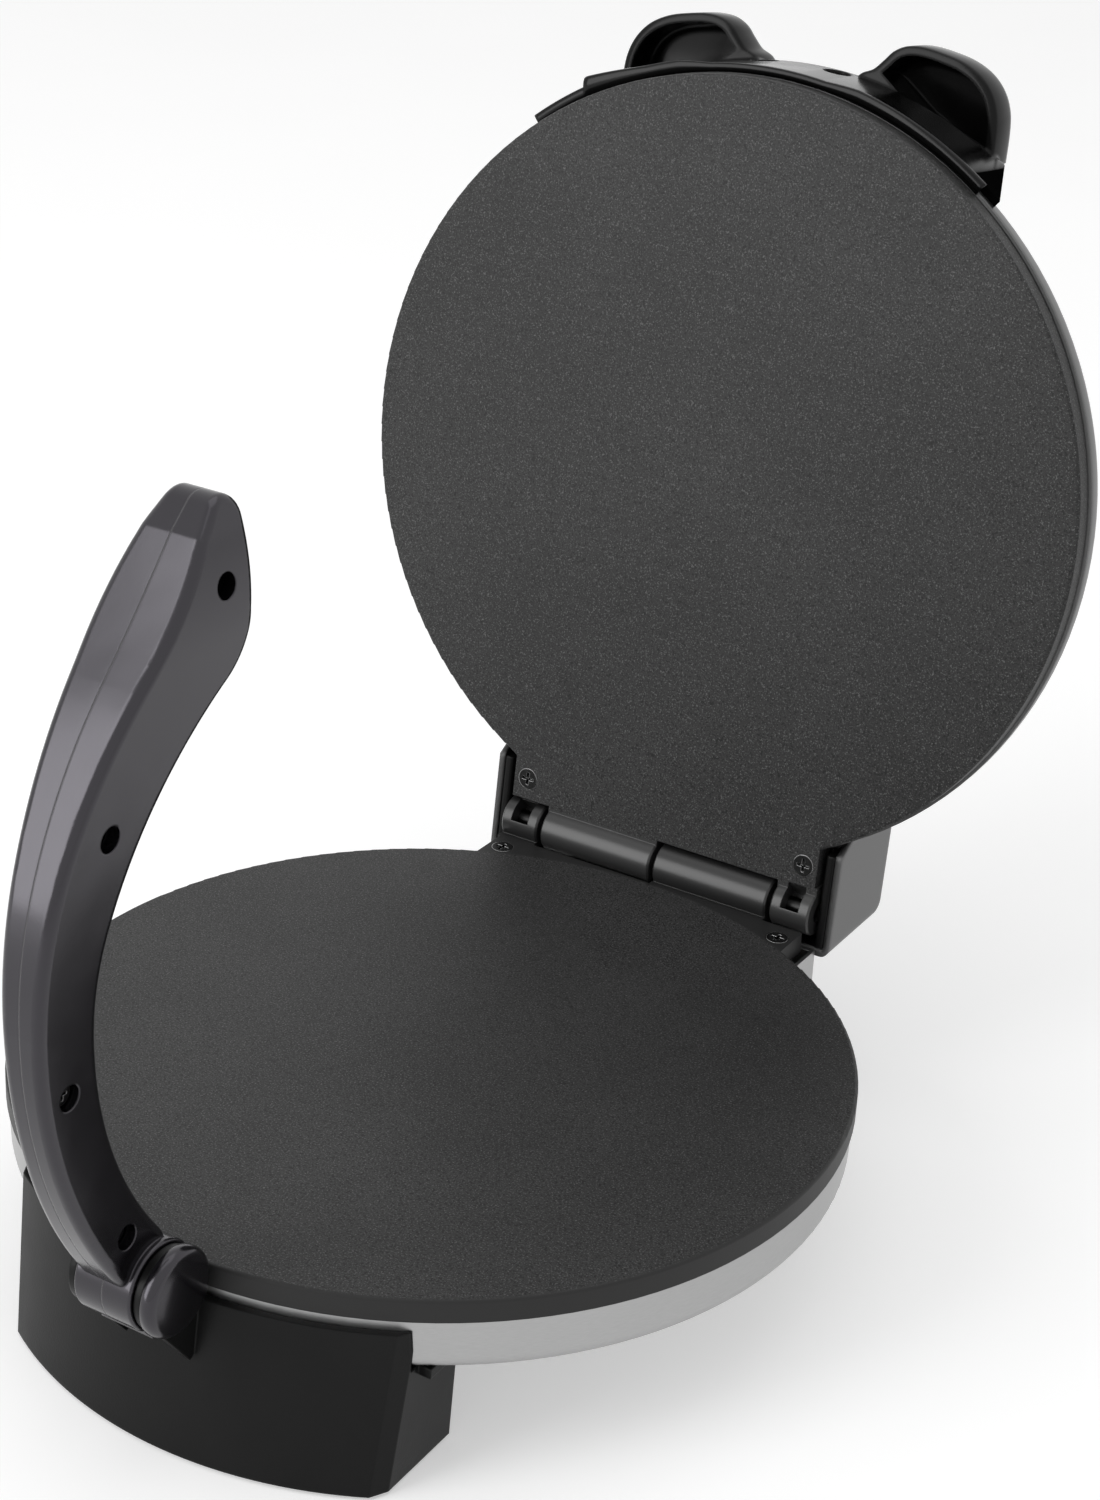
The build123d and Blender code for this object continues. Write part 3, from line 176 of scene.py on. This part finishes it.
def coat_material(name, dark, light, wall_shade=0):
    """Non-stick coat: a clouded dark grey with fine light specks and dark pits.

    The hinge barrels are smoother, and the plate's wall can be given a plain grey that stands in for the shade on
    that side face.
    """
    t = Tree(name)
    flat = t.rise(t.distance(HINGE, (0, 1, 1)), BARREL_IN, BARREL_OUT)
    cloud = t.ramp(t.noise(14, 5, 0.6), [(0.32, grey(dark)), (0.68, grey(light))])
    fine = t.noise(1900, 2.0, 0.7)
    specks = t.ramp(fine, [(0.555, BLACK), (0.66, WHITE)])
    speckled = t.mix(t.product(specks, flat), cloud, grey(light + SPECK_LIGHTER))
    pits = t.ramp(t.noise(1500, 1.0), [(0.34, WHITE), (0.46, BLACK)])
    colour = t.mix(t.product(pits, flat), speckled, grey(dark - PIT_DARKER))
    # painted shade: the plate's outer wall takes a plain grey, darker than the coat, for the shade on that side
    # face
    if wall_shade:
        wall_area = t.rise(t.distance(SHIFT, (1, 1, 0)), WALL_IN, WALL_OUT)
        colour = t.mix(wall_area, colour, grey(wall_shade))
    t.link(colour, "Base Color")
    t.link(t.range(flat, 0.30, 0.50), "Roughness")
    t.link(t.range(flat, 0.52, 0.30), "Specular IOR Level")
    grain = t.product(fine, t.range(flat, 0.4, 1.0))
    t.link(t.bumped(grain, t.eased(0.0004), 0.3, 0.0001), "Normal")
    return t.material


def metal_material(name, level, rough, stretch=(1, 1, 1), tint=(1, 1, 1), spread=9, edge_light_level=0,
                   ease=0.0004):
    """Satin metal with fine streaks and a slow change of tone; its edges can get a painted highlight of a given
    grey level.
    """
    t = Tree(name)
    streaks = t.noise(420, 4, 0.6, stretch)
    tone = t.ramp(t.noise(9, 2), [(0.35, tinted(level - 6, tint)),
                                  (0.65, tinted(level + 4, tint))])
    line = t.ramp(streaks, [(0.3, tinted(level - spread, tint)),
                            (0.7, tinted(level + spread, tint))])
    colour = t.mix(0.5, tone, line)
    # painted highlight: where the rounded-edge direction parts from the true one, the colour turns to a light
    # grey, standing in for light caught on the edges
    if edge_light_level:
        true = t.add("ShaderNodeNewGeometry").outputs["Normal"]
        match = t.add("ShaderNodeVectorMath", [(0, t.eased(EDGE_LIGHT_WIDTH)), (1, true)],
                      operation="DOT_PRODUCT").outputs["Value"]
        colour = t.mix(t.rise(match, 0.80, 0.97), grey(edge_light_level), colour)
    t.link(colour, "Base Color")
    t.link(t.range(streaks, rough - 0.05, rough + 0.07), "Roughness")
    t.link(t.bumped(streaks, t.eased(ease), 0.06, 0.0002), "Normal")
    t.set(Metallic=1.0)
    return t.material


def plastic_material(name, level, rough, specular, grain, grain_scale, tint=(1, 1, 1),
                     coat=0.0, ior=1.5, seam=0.0, ease=0.0008, sheen=(1, 1, 1),
                     dull_beyond=0.0):
    """Moulded plastic: a faint cloud in the colour, a wavy skin and a fine grain.

    seam is the grey level of its parting line, and dull_beyond is how far to the left and right
    it stays glossy.
    """
    t = Tree(name)
    colour = t.ramp(t.noise(30, 3), [(0.3, tinted(level - 3, tint)),
                                     (0.7, tinted(level + 3, tint))])
    if seam:
        colour = t.mix(t.rise(t.from_middle(), SEAM_IN, SEAM_OUT), grey(seam), colour)
    t.link(colour, "Base Color")
    t.link(t.range(t.noise(110, 4), rough - 0.03, rough + 0.05), "Roughness")
    wavy = t.bumped(t.noise(26, 2), t.eased(ease), 0.10, 0.002)
    t.link(t.bumped(t.noise(grain_scale, 3), wavy, grain, 0.0002), "Normal")
    t.set(Specular_IOR_Level=specular, Coat_Weight=coat, Coat_Roughness=0.06, IOR=ior,
          Specular_Tint=(*sheen, 1.0))
    if dull_beyond:
        dull = t.rise(t.from_middle(), dull_beyond - DULL_BLEND, dull_beyond)
        t.link(t.range(dull, specular, 0.0), "Specular IOR Level")
    return t.material


# The numbers after a plastic's name are its grey level, roughness, specular level, grain and
# grain scale; those after a metal's name are its grey level and roughness.
materials = {
    "plate_coat": coat_material("plate coat", 35, 47),
    "satin_steel": metal_material("satin steel", 168, 0.36, stretch=(1, 1, 14)),
    "lid_paint": metal_material("lid silver", 98, 0.36, stretch=(3, 3, 3), spread=5, ease=0.003),
    "black_gloss": plastic_material("glossy black", 9, 0.13, 0.2, 0.03, 900),
    "black_satin": plastic_material("satin black", 16, 0.36, 0.15, 0.2, 1500),
    "steel": metal_material("bright steel", 200, 0.24),
    "element_steel": metal_material("browned tube", 120, 0.4, tint=(1, 0.9, 0.8)),
    "shield": metal_material("bright sheet", 200, 0.3),
    "rubber": plastic_material("rubber", 26, 0.75, 0.3, 0.3, 1500),
    "ceramic": plastic_material("ceramic", 215, 0.6, 0.4, 0.15, 900, tint=(1, 0.97, 0.9)),
    "brass": metal_material("brass", 200, 0.3, tint=(1, 0.8, 0.45)),
    "wire": plastic_material("sleeved lead", 190, 0.7, 0.3, 0.25, 1800, tint=(1, 0.96, 0.88)),
    "lens_red": plastic_material("red lens", 60, 0.12, 0.5, 0.02, 800, tint=(4.5, 0.3, 0.25),
                                 coat=0.5),
    "glass": plastic_material("lamp glass", 200, 0.1, 0.5, 0.02, 800),
}
lever_black = plastic_material("lever black", 11, 0.17, 0.35, 0.02, 900,
                               tint=(1.05, 0.95, 1.15), ior=1.75, seam=60, ease=0.0007,
                               sheen=(1.0, 0.96, 1.06))
handle_black = plastic_material("handle black", 8, 0.16, 0.16, 0.03, 900, ease=0.0016,
                                dull_beyond=0.0715)
# its wall gets a painted shade, grey level 34
lower_coat = coat_material("lower plate coat with painted wall shade", 36, 49, wall_shade=34)
# dark steel with a painted highlight of grey level 150 on its edges
dark_steel = metal_material("dark steel with painted edge light", 44, 0.34, edge_light_level=150)
own = {                                  # what differs from its slot's material
    "lever_left_shell": lever_black, "lever_right_shell": lever_black,
    # the hinge pin gets this dark grey so that it looks dark in the barrel's windows
    "hinge_pin": dark_steel, "upper_plate_screws": dark_steel,
    "lower_plate_screws": dark_steel, "lever_screws": dark_steel,
    "handle": handle_black, "lower_plate": lower_coat,
}
slots = {part["node"]: part["material_slot"] for part in frame["record"]["subparts"]}
for name, obj in nodes.items():
    obj.data.materials.clear()
    obj.data.materials.append(own.get(name, materials[slots[name]]))


# ---------------------------------------------------------------- helpers for pieces
def opened(x, y, z):
    """A point of the closed lid, in drawing metres, turned to where the open lid has it."""
    a = math.radians(-OPEN_DEGREES)
    dy, dz = y - HINGE_Y, z - HINGE_Z
    turned = (x, dy * math.cos(a) - dz * math.sin(a), dy * math.sin(a) + dz * math.cos(a))
    return HINGE + Vector(turned)


def built_mesh(name, points, faces, split=False):
    """A mesh with its faces turned outwards; split cuts its end faces into triangles."""
    mesh = bpy.data.meshes.new(name)
    mesh.from_pydata([tuple(p) for p in points], [], faces)
    work = bmesh.new()
    work.from_mesh(mesh)
    if split:
        bmesh.ops.triangulate(work, faces=[f for f in work.faces if len(f.verts) > 4])
    bmesh.ops.recalc_face_normals(work, faces=work.faces)
    work.to_mesh(mesh)
    work.free()
    return mesh


def placed(name, data):
    """An object with this data, in the scene."""
    obj = bpy.data.objects.new(name, data)
    bpy.context.scene.collection.objects.link(obj)
    return obj


def piece(name, points, faces, material, body):
    """A smooth mesh that rides on a body and takes the given material."""
    mesh = built_mesh(name, points, faces)
    for polygon in mesh.polygons:
        polygon.use_smooth = True
    mesh.materials.append(material)
    obj = placed(name, mesh)
    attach(obj, body)
    return obj


def skin(rings):
    """Points and faces of a solid over rings of equal length, with both ends shut."""
    points = [p for ring in rings for p in ring]
    count, faces = len(rings[0]), []
    for i in range(len(rings) - 1):
        for k in range(count):
            a, b = i * count + k, i * count + (k + 1) % count
            faces.append((a, b, b + count, a + count))
    last = (len(rings) - 1) * count
    return points, faces + [tuple(range(count)), tuple(range(last, last + count))]


def solid(rings):
    """A solid over rings, used to build another piece and then deleted."""
    return placed("temporary", built_mesh("temporary", *skin(rings), split=True))


def cut(target, cutter):
    """Take one solid out of another, and delete the first."""
    change = target.modifiers.new("change", "BOOLEAN")
    change.operation, change.object, change.solver = "DIFFERENCE", cutter, "EXACT"
    graph = bpy.context.evaluated_depsgraph_get()
    result = bpy.data.meshes.new_from_object(target.evaluated_get(graph))
    target.modifiers.clear()
    target.data = result
    bpy.data.objects.remove(cutter)


# ---------------------------------------------------------------- the handle's lower lip, in metres
TRIM_SECTION = [(0.1272, 0.0077), (0.1296, 0.0077), (0.1300, 0.0080), (0.1302, 0.0090),
                (0.1298, 0.0096), (0.1272, 0.0084)]     # radius and height
TRIM_OUTSIDE = 0.128                     # points of the section beyond this radius can stand out
TRIM_LEFT, TRIM_RIGHT = 38.6, 36.0       # its arc to each side, in degrees
TRIM_STEPS = 240
STEP_FROM, STEP_OVER, STEP_OUT = 9, 5, 0.0013           # degrees, degrees and metres
TIP_START, TIP_END, TIP_ROUND = -19.0, -29.4, 0.9       # degrees, along its left part
TIP_REACH, TIP_CURVE = 0.0030, 1.3


def tip_reach(degrees):
    """How far the lip stands out where its left part ends, in metres."""
    if not TIP_END <= degrees <= TIP_START:
        return 0.0
    grown = (TIP_START - degrees) / (TIP_START - TIP_END)
    near_end = max((TIP_END + TIP_ROUND - degrees) / TIP_ROUND, 0)
    return TIP_REACH * grown ** TIP_CURVE * math.sqrt(max(1 - near_end ** 2, 0))


def rim_trim():
    """The thin lower lip of the handle's bow, which hides the lid's edge."""
    rings = []
    for i in range(TRIM_STEPS + 1):
        degrees = -TRIM_LEFT + (TRIM_LEFT + TRIM_RIGHT) * i / TRIM_STEPS
        a = math.radians(degrees)
        step = STEP_OUT * min(max((abs(degrees) - STEP_FROM) / STEP_OVER, 0), 1)
        out = step + tip_reach(degrees)
        ring = []
        for r, z in TRIM_SECTION:
            reach = r + (out if r > TRIM_OUTSIDE else 0)
            ring.append(opened(reach * math.sin(a), -reach * math.cos(a), z))
        rings.append(ring)
    points, faces = skin(rings)
    return piece("handle_lower_lip", points, faces, materials["black_gloss"], "lid")


# ---------------------------------------------------------------- the pivot's cap, in metres
CAP_START = 0.01225                      # where it starts, beside the right ear
CAP_STEPS, CAP_ROUND_STEPS = 96, 8
CAP_SIDE = [(0.0123, 0.0), (0.0127, 0.0004), (0.0127, 0.0016)]      # radius and depth
CAP_ROUND_MIDDLE, CAP_ROUND_SIZE = (0.0103, 0.0016), (0.0024, 0.0026)
CAP_DOME = [(0.0085, 0.00455), (0.0062, 0.00485), (0.0035, 0.00505)]
CAP_DEPTH = 0.00515


def domed_cap():
    """The pivot's cap with a soft edge and a slightly domed face."""
    profile = list(CAP_SIDE)
    for i in range(1, CAP_ROUND_STEPS + 1):
        a = math.radians(90 * i / CAP_ROUND_STEPS)
        profile.append((CAP_ROUND_MIDDLE[0] + CAP_ROUND_SIZE[0] * math.cos(a),
                        CAP_ROUND_MIDDLE[1] + CAP_ROUND_SIZE[1] * math.sin(a)))
    profile += CAP_DOME
    start = PIVOT + Vector((CAP_START, 0, 0))
    points, faces = [], []
    for i in range(CAP_STEPS):
        a = 2 * math.pi * i / CAP_STEPS
        points += [start + Vector((x, r * math.cos(a), r * math.sin(a))) for r, x in profile]
    count = len(profile)
    for i in range(CAP_STEPS):
        n = (i + 1) % CAP_STEPS
        for k in range(count - 1):
            faces.append((i * count + k, i * count + k + 1, n * count + k + 1, n * count + k))
    inner, outer = len(points), len(points) + 1
    points += [start, start + Vector((CAP_DEPTH, 0, 0))]
    for i in range(CAP_STEPS):
        n = (i + 1) % CAP_STEPS
        faces.append((inner, i * count, n * count))
        faces.append((outer, n * count + count - 1, i * count + count - 1))
    cap = piece("pivot_cap_domed", points, faces, lever_black, "base")
    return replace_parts(cap, "pivot_cap")


# ---------------------------------------------------------------- the handle, in drawing millimetres
# The lid is closed in these numbers. The handle is a bow round the lid's rim, with a hollow
# finger lip to each side of a valley with two screw holes.
BOW_RADIUS, BOW_TOP, BOW_WALL = 130.0, 44.5, 3.0
BOW_BACK, BOW_SHOULDER = 97, 104         # radii where the bow's top meets the lid and bends
BOW_LOW, BOW_LOW_SIDE = 8.8, 12.0        # its lower edge in the middle and at the sides
BOW_STEP = 27.6                          # where the two meet, in degrees
BOW_END_LOW, BOW_END_HIGH = 38.6, 31.4   # half its arc below and on top, in degrees
BOW_SLANT_FROM = 13                      # the height from which its ends slant
BOW_STEPS, ROUND_STEPS, SHOULDER_STEPS = 60, 8, 6
OUTSIDE_POINTS = ROUND_STEPS + SHOULDER_STEPS + 3       # of its section, before its inside
END_SHARES = (0.955, 0.998)              # faces of an end wall, as shares of half the arc
END_SHRINK, END_DROP, END_RISE = 0.999, 0.1, 6          # keep the end wall inside the bow
EAR_RIM, EAR_TOP, EAR_WALL = 36.0, 53.0, 3.0
EAR_OUTLINE = [                          # from the valley round to the end of the bow
    (15.0, -125.5), (18.5, -129.6), (22.6, -131.6), (25.8, -134.8), (28.8, -138.0),
    (33.0, -140.1), (38.5, -140.6), (45.5, -139.7), (52.5, -138.0), (58.8, -134.8),
    (63.4, -130.0), (66.0, -124.2), (66.9, -117.5), (67.0, -108.5),
]
EAR_BACK, HOLLOW_BACK = (40.0, -119.0), (40.0, -120.0)  # where the outlines are closed
EAR_STEPS = 5                            # between two points of the outline
HOLLOW_SKIP = 12                         # steps of the outline before the hollow begins
EAR_RIM_SHAPE = [(0, 1.0), (0.3, 0.3), (1.0, 0.0)]      # height above the rim, inset
EAR_ROUND, HOLLOW_ROUND, HOLLOW_ROOF = 6.5, 4, 7
HOLE_X, HOLE_Z, HOLE_RADIUS = 12.9, 31.4, 4.6
HOLE_FRONT, HOLE_FLOOR = -142.0, -122.0
BOSS_FRONT, BOSS_BACK, BOSS_WALL = -127.5, -118.0, 2.4
BAR_STEPS = 40
SHARP_DEGREES = 32                       # edges that bend more than this stay crisp


def arc(a, b, c, steps):
    """Points on the circle through a, b and c, from a to c."""
    (ax, ay), (bx, by), (cx, cy) = a, b, c
    d = 2 * (ax * (by - cy) + bx * (cy - ay) + cx * (ay - by))
    aa, bb, cc = ax * ax + ay * ay, bx * bx + by * by, cx * cx + cy * cy
    ux = (aa * (by - cy) + bb * (cy - ay) + cc * (ay - by)) / d
    uy = (aa * (cx - bx) + bb * (ax - cx) + cc * (bx - ax)) / d
    first, last = math.atan2(ay - uy, ax - ux), math.atan2(cy - uy, cx - ux)
    turn = (last - first + math.pi) % (2 * math.pi) - math.pi
    r = math.hypot(ax - ux, ay - uy)
    angles = [first + turn * i / steps for i in range(steps + 1)]
    return [(ux + r * math.cos(angle), uy + r * math.sin(angle)) for angle in angles]


def smooth_line(points, steps):
    """An open curve through the points."""
    ends = [points[0]] + list(points) + [points[-1]]
    line = []
    for i in range(1, len(ends) - 2):
        p, q, r, w = (Vector(e) for e in ends[i - 1:i + 3])
        for k in range(steps):
            t = k / steps
            line.append(0.5 * (2 * q + (r - p) * t + (2 * p - 5 * q + 4 * r - w) * t ** 2
                               + (3 * q - p - 3 * r + w) * t ** 3))
    return line + [Vector(points[-1])]


def inset_line(line, amount):
    """The line moved to its inner side by an amount."""
    moved = []
    for i, point in enumerate(line):
        before, after = line[max(i - 1, 0)], line[min(i + 1, len(line) - 1)]
        along = (after - before).normalized()
        moved.append(point + Vector((-along.y, along.x)) * amount)
    return moved


def rounded_top(top, radius, angles):
    """Heights and insets that round a solid's top over."""
    return [(top - radius + radius * math.sin(t), radius * (1 - math.cos(t))) for t in angles]


def bow_ring(share):
    """The bow's section at a share of its half arc, from -1 to 1."""
    low = BOW_LOW_SIDE if abs(share) * BOW_END_LOW > BOW_STEP else BOW_LOW
    section = [(BOW_RADIUS, low)]
    section += arc((BOW_RADIUS, BOW_TOP - 7), (BOW_RADIUS - 2.2, BOW_TOP - 2.1),
                   (BOW_RADIUS - 7, BOW_TOP), ROUND_STEPS)
    section += arc((BOW_SHOULDER, BOW_TOP - 3), (BOW_BACK + 2.5, BOW_TOP - 5.5),
                   (BOW_BACK, BOW_TOP - 11), SHOULDER_STEPS)
    section += [(BOW_BACK, 28), (BOW_BACK + BOW_WALL, 28), (BOW_BACK + BOW_WALL, BOW_TOP - 12),
                (BOW_SHOULDER, BOW_TOP - 6), (BOW_RADIUS - 9, BOW_TOP - 3),
                (BOW_RADIUS - BOW_WALL, BOW_TOP - 9), (BOW_RADIUS - BOW_WALL, low)]
    ring = []
    for r, z in section:
        rise = min(max((z - BOW_SLANT_FROM) / (BOW_TOP - BOW_SLANT_FROM), 0), 1)
        a = math.radians(share * (BOW_END_LOW + (BOW_END_HIGH - BOW_END_LOW) * rise))
        ring.append(Vector((r * math.sin(a), -r * math.cos(a), z)))
    return ring


def bow():
    """The bow with open ends."""
    shares = {round(i / BOW_STEPS, 5) for i in range(-BOW_STEPS, BOW_STEPS + 1)}
    shares |= {side * (BOW_STEP + d) / BOW_END_LOW for side in (-1, 1) for d in (-0.01, 0.01)}
    return solid([bow_ring(share) for share in sorted(shares)])


def bow_end(side):
    """The wall that shuts one end of the bow."""
    rings = []
    for share in END_SHARES:
        ring = [Vector((p.x * END_SHRINK, p.y * END_SHRINK, p.z - END_DROP))
                for p in bow_ring(side * share)[:OUTSIDE_POINTS]]
        rings.append(ring + [Vector((ring[-1].x, ring[-1].y, BOW_LOW_SIDE + END_RISE))])
    return solid(rings)


def ear_rings(side, line, back, levels):
    """Rings over an outline, closed at its back, at heights with insets."""
    rings = []
    for z, inset in levels:
        ring = [Vector((side * p.x, p.y, z)) for p in inset_line(line, inset)]
        rings.append(ring + [Vector((side * back[0], back[1], z))])
    return rings


def ear(side):
    """One finger lip, before it is hollowed."""
    levels = [(EAR_RIM + up, inset) for up, inset in EAR_RIM_SHAPE]
    levels += [(EAR_TOP - EAR_ROUND, 0.0)]
    levels += rounded_top(EAR_TOP, EAR_ROUND, (0.2, 0.4, 0.6, 0.8, 1.0, 1.2, 1.4, 1.57))
    return solid(ear_rings(side, smooth_line(EAR_OUTLINE, EAR_STEPS), EAR_BACK, levels))


def ear_hollow(side):
    """The hollow under one finger lip, open below the rim."""
    line = inset_line(smooth_line(EAR_OUTLINE, EAR_STEPS)[HOLLOW_SKIP:], EAR_WALL)
    levels = [(EAR_RIM - 1, 0.0), (EAR_TOP - HOLLOW_ROOF, 0.0)]
    levels += rounded_top(EAR_TOP - HOLLOW_ROOF + HOLLOW_ROUND, HOLLOW_ROUND,
                          (0.4, 0.8, 1.2, 1.5))
    return solid(ear_rings(side, line, HOLLOW_BACK, levels))


def front_bar(x, z, radius, front, back):
    """A round bar along y."""
    angles = [math.tau * i / BAR_STEPS for i in range(BAR_STEPS)]
    return solid([[Vector((x + radius * math.cos(a), y, z + radius * math.sin(a)))
                   for a in angles] for y in (front, back)])


def screw_hole(side):
    """The room in front of one of the valley's screws."""
    return front_bar(side * HOLE_X, HOLE_Z, HOLE_RADIUS, HOLE_FRONT, HOLE_FLOOR)


def rounded_handle():
    """The handle with its two rounded finger lips, slanted ends and recessed screw holes."""
    parts = [bow()]
    for side in (-1, 1):
        cut(parts[0], ear_hollow(side))
        cut(parts[0], screw_hole(side))
        lip = ear(side)
        cut(lip, ear_hollow(side))
        boss = front_bar(side * HOLE_X, HOLE_Z, HOLE_RADIUS + BOSS_WALL, BOSS_FRONT, BOSS_BACK)
        cut(boss, screw_hole(side))
        parts += [lip, boss, bow_end(side)]
    points, faces = [], []
    for part in parts:
        first = len(points)
        points += [opened(*(v.co / 1000)) for v in part.data.vertices]
        faces += [tuple(first + v for v in f.vertices) for f in part.data.polygons]
        bpy.data.objects.remove(part)
    handle = piece("handle_rounded", points, faces, handle_black, "lid")
    handle.data.set_sharp_from_angle(angle=math.radians(SHARP_DEGREES))
    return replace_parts(handle, "handle")


rim_trim()
domed_cap()
rounded_handle()

# ---------------------------------------------------------------- floor, light and camera
FLOOR_TONES, FLOOR_SIZE, FLOOR_LIFT = (226, 229), 14, 0.38
WORLD_LIGHT, WORLD_SEEN = 0.62, 1.0      # the world's strength as a light and as a background


def seen_rays(tree):
    """1 for camera, glossy and transmission rays, 0 for the others."""
    rays = tree.nodes.new("ShaderNodeLightPath").outputs
    value = rays["Is Camera Ray"]
    for other in (rays["Is Glossy Ray"], rays["Is Transmission Ray"]):
        highest = tree.nodes.new("ShaderNodeMath")
        highest.operation = "MAXIMUM"
        tree.links.new(value, highest.inputs[0])
        tree.links.new(other, highest.inputs[1])
        value = highest.outputs[0]
    return value


floor = Tree("floor")
low_tone, high_tone = (grey(tone) for tone in FLOOR_TONES)
floor.link(floor.ramp(floor.noise(3, 2), [(0.2, low_tone), (0.8, high_tone)]), "Base Color")
seen = seen_rays(floor.material.node_tree)
floor.link(floor.range(seen, 0.0, FLOOR_LIFT), "Emission Strength")
floor.set(Roughness=0.9, Specular_IOR_Level=0.1, Emission_Color=(1, 1, 1, 1))
bpy.ops.mesh.primitive_plane_add(size=FLOOR_SIZE, location=(0, 0, 0))
ground = bpy.context.object
ground.name = "ground"
ground.data.materials.append(floor.material)

world = bpy.data.worlds.new("studio")
world.use_nodes = True
bpy.context.scene.world = world
tree = world.node_tree
choice = tree.nodes.new("ShaderNodeMixShader")
tree.links.new(seen_rays(tree), choice.inputs[0])
light, background = tree.nodes["Background"], tree.nodes.new("ShaderNodeBackground")
for socket, node, strength in ((1, light, WORLD_LIGHT), (2, background, WORLD_SEEN)):
    node.inputs["Color"].default_value = (1, 1, 1, 1)
    node.inputs["Strength"].default_value = strength
    tree.links.new(node.outputs[0], choice.inputs[socket])
tree.links.new(choice.outputs[0], tree.nodes["World Output"].inputs["Surface"])


def softbox(name, place, aim, width, height, power):
    """A soft lamp at a place, turned to what it lights."""
    lamp = bpy.data.lights.new(name, "AREA")
    lamp.shape = "RECTANGLE"
    lamp.size = width
    lamp.size_y = height
    lamp.energy = power
    obj = placed(name, lamp)
    obj.location = place
    obj.rotation_euler = (Vector(aim) - Vector(place)).to_track_quat("-Z", "Y").to_euler()
    return obj


softbox("key", place=(-1.1, -1.95, 1.05), aim=(0, -0.05, 0.16), width=1.2, height=2.1, power=29)
softbox("top", place=(0.1, 0.2, 2.1), aim=(0, 0, 0.1), width=1.6, height=1.6, power=6)

AZIMUTH, ELEVATION, ROLL = (math.radians(v) for v in (30.79, 23.93, 2.83))
EYE = Vector((0.3925, -0.5999, 0.4387))  # in the drawing, in metres
LENS, SENSOR = 66.484, 36                # millimetres
SHIFT_X, SHIFT_Y = -0.0023, -0.0462      # of the lens

back = Vector((math.sin(AZIMUTH) * math.cos(ELEVATION),
               -math.cos(AZIMUTH) * math.cos(ELEVATION), math.sin(ELEVATION)))
right = Vector((math.cos(AZIMUTH), math.sin(AZIMUTH), 0))
up = back.cross(right)
turned_right = right * math.cos(ROLL) + up * math.sin(ROLL)
turned_up = up * math.cos(ROLL) - right * math.sin(ROLL)
camera_data = bpy.data.cameras.new("camera")
camera_data.lens = LENS
camera_data.sensor_width = SENSOR
camera_data.shift_x = SHIFT_X
camera_data.shift_y = SHIFT_Y
camera = placed("camera", camera_data)
turn = Matrix((turned_right, turned_up, back)).transposed().to_4x4()
camera.matrix_world = Matrix.Translation(EYE + SHIFT) @ turn
bpy.context.scene.camera = camera
bpy.context.scene.view_settings.view_transform = "Standard"
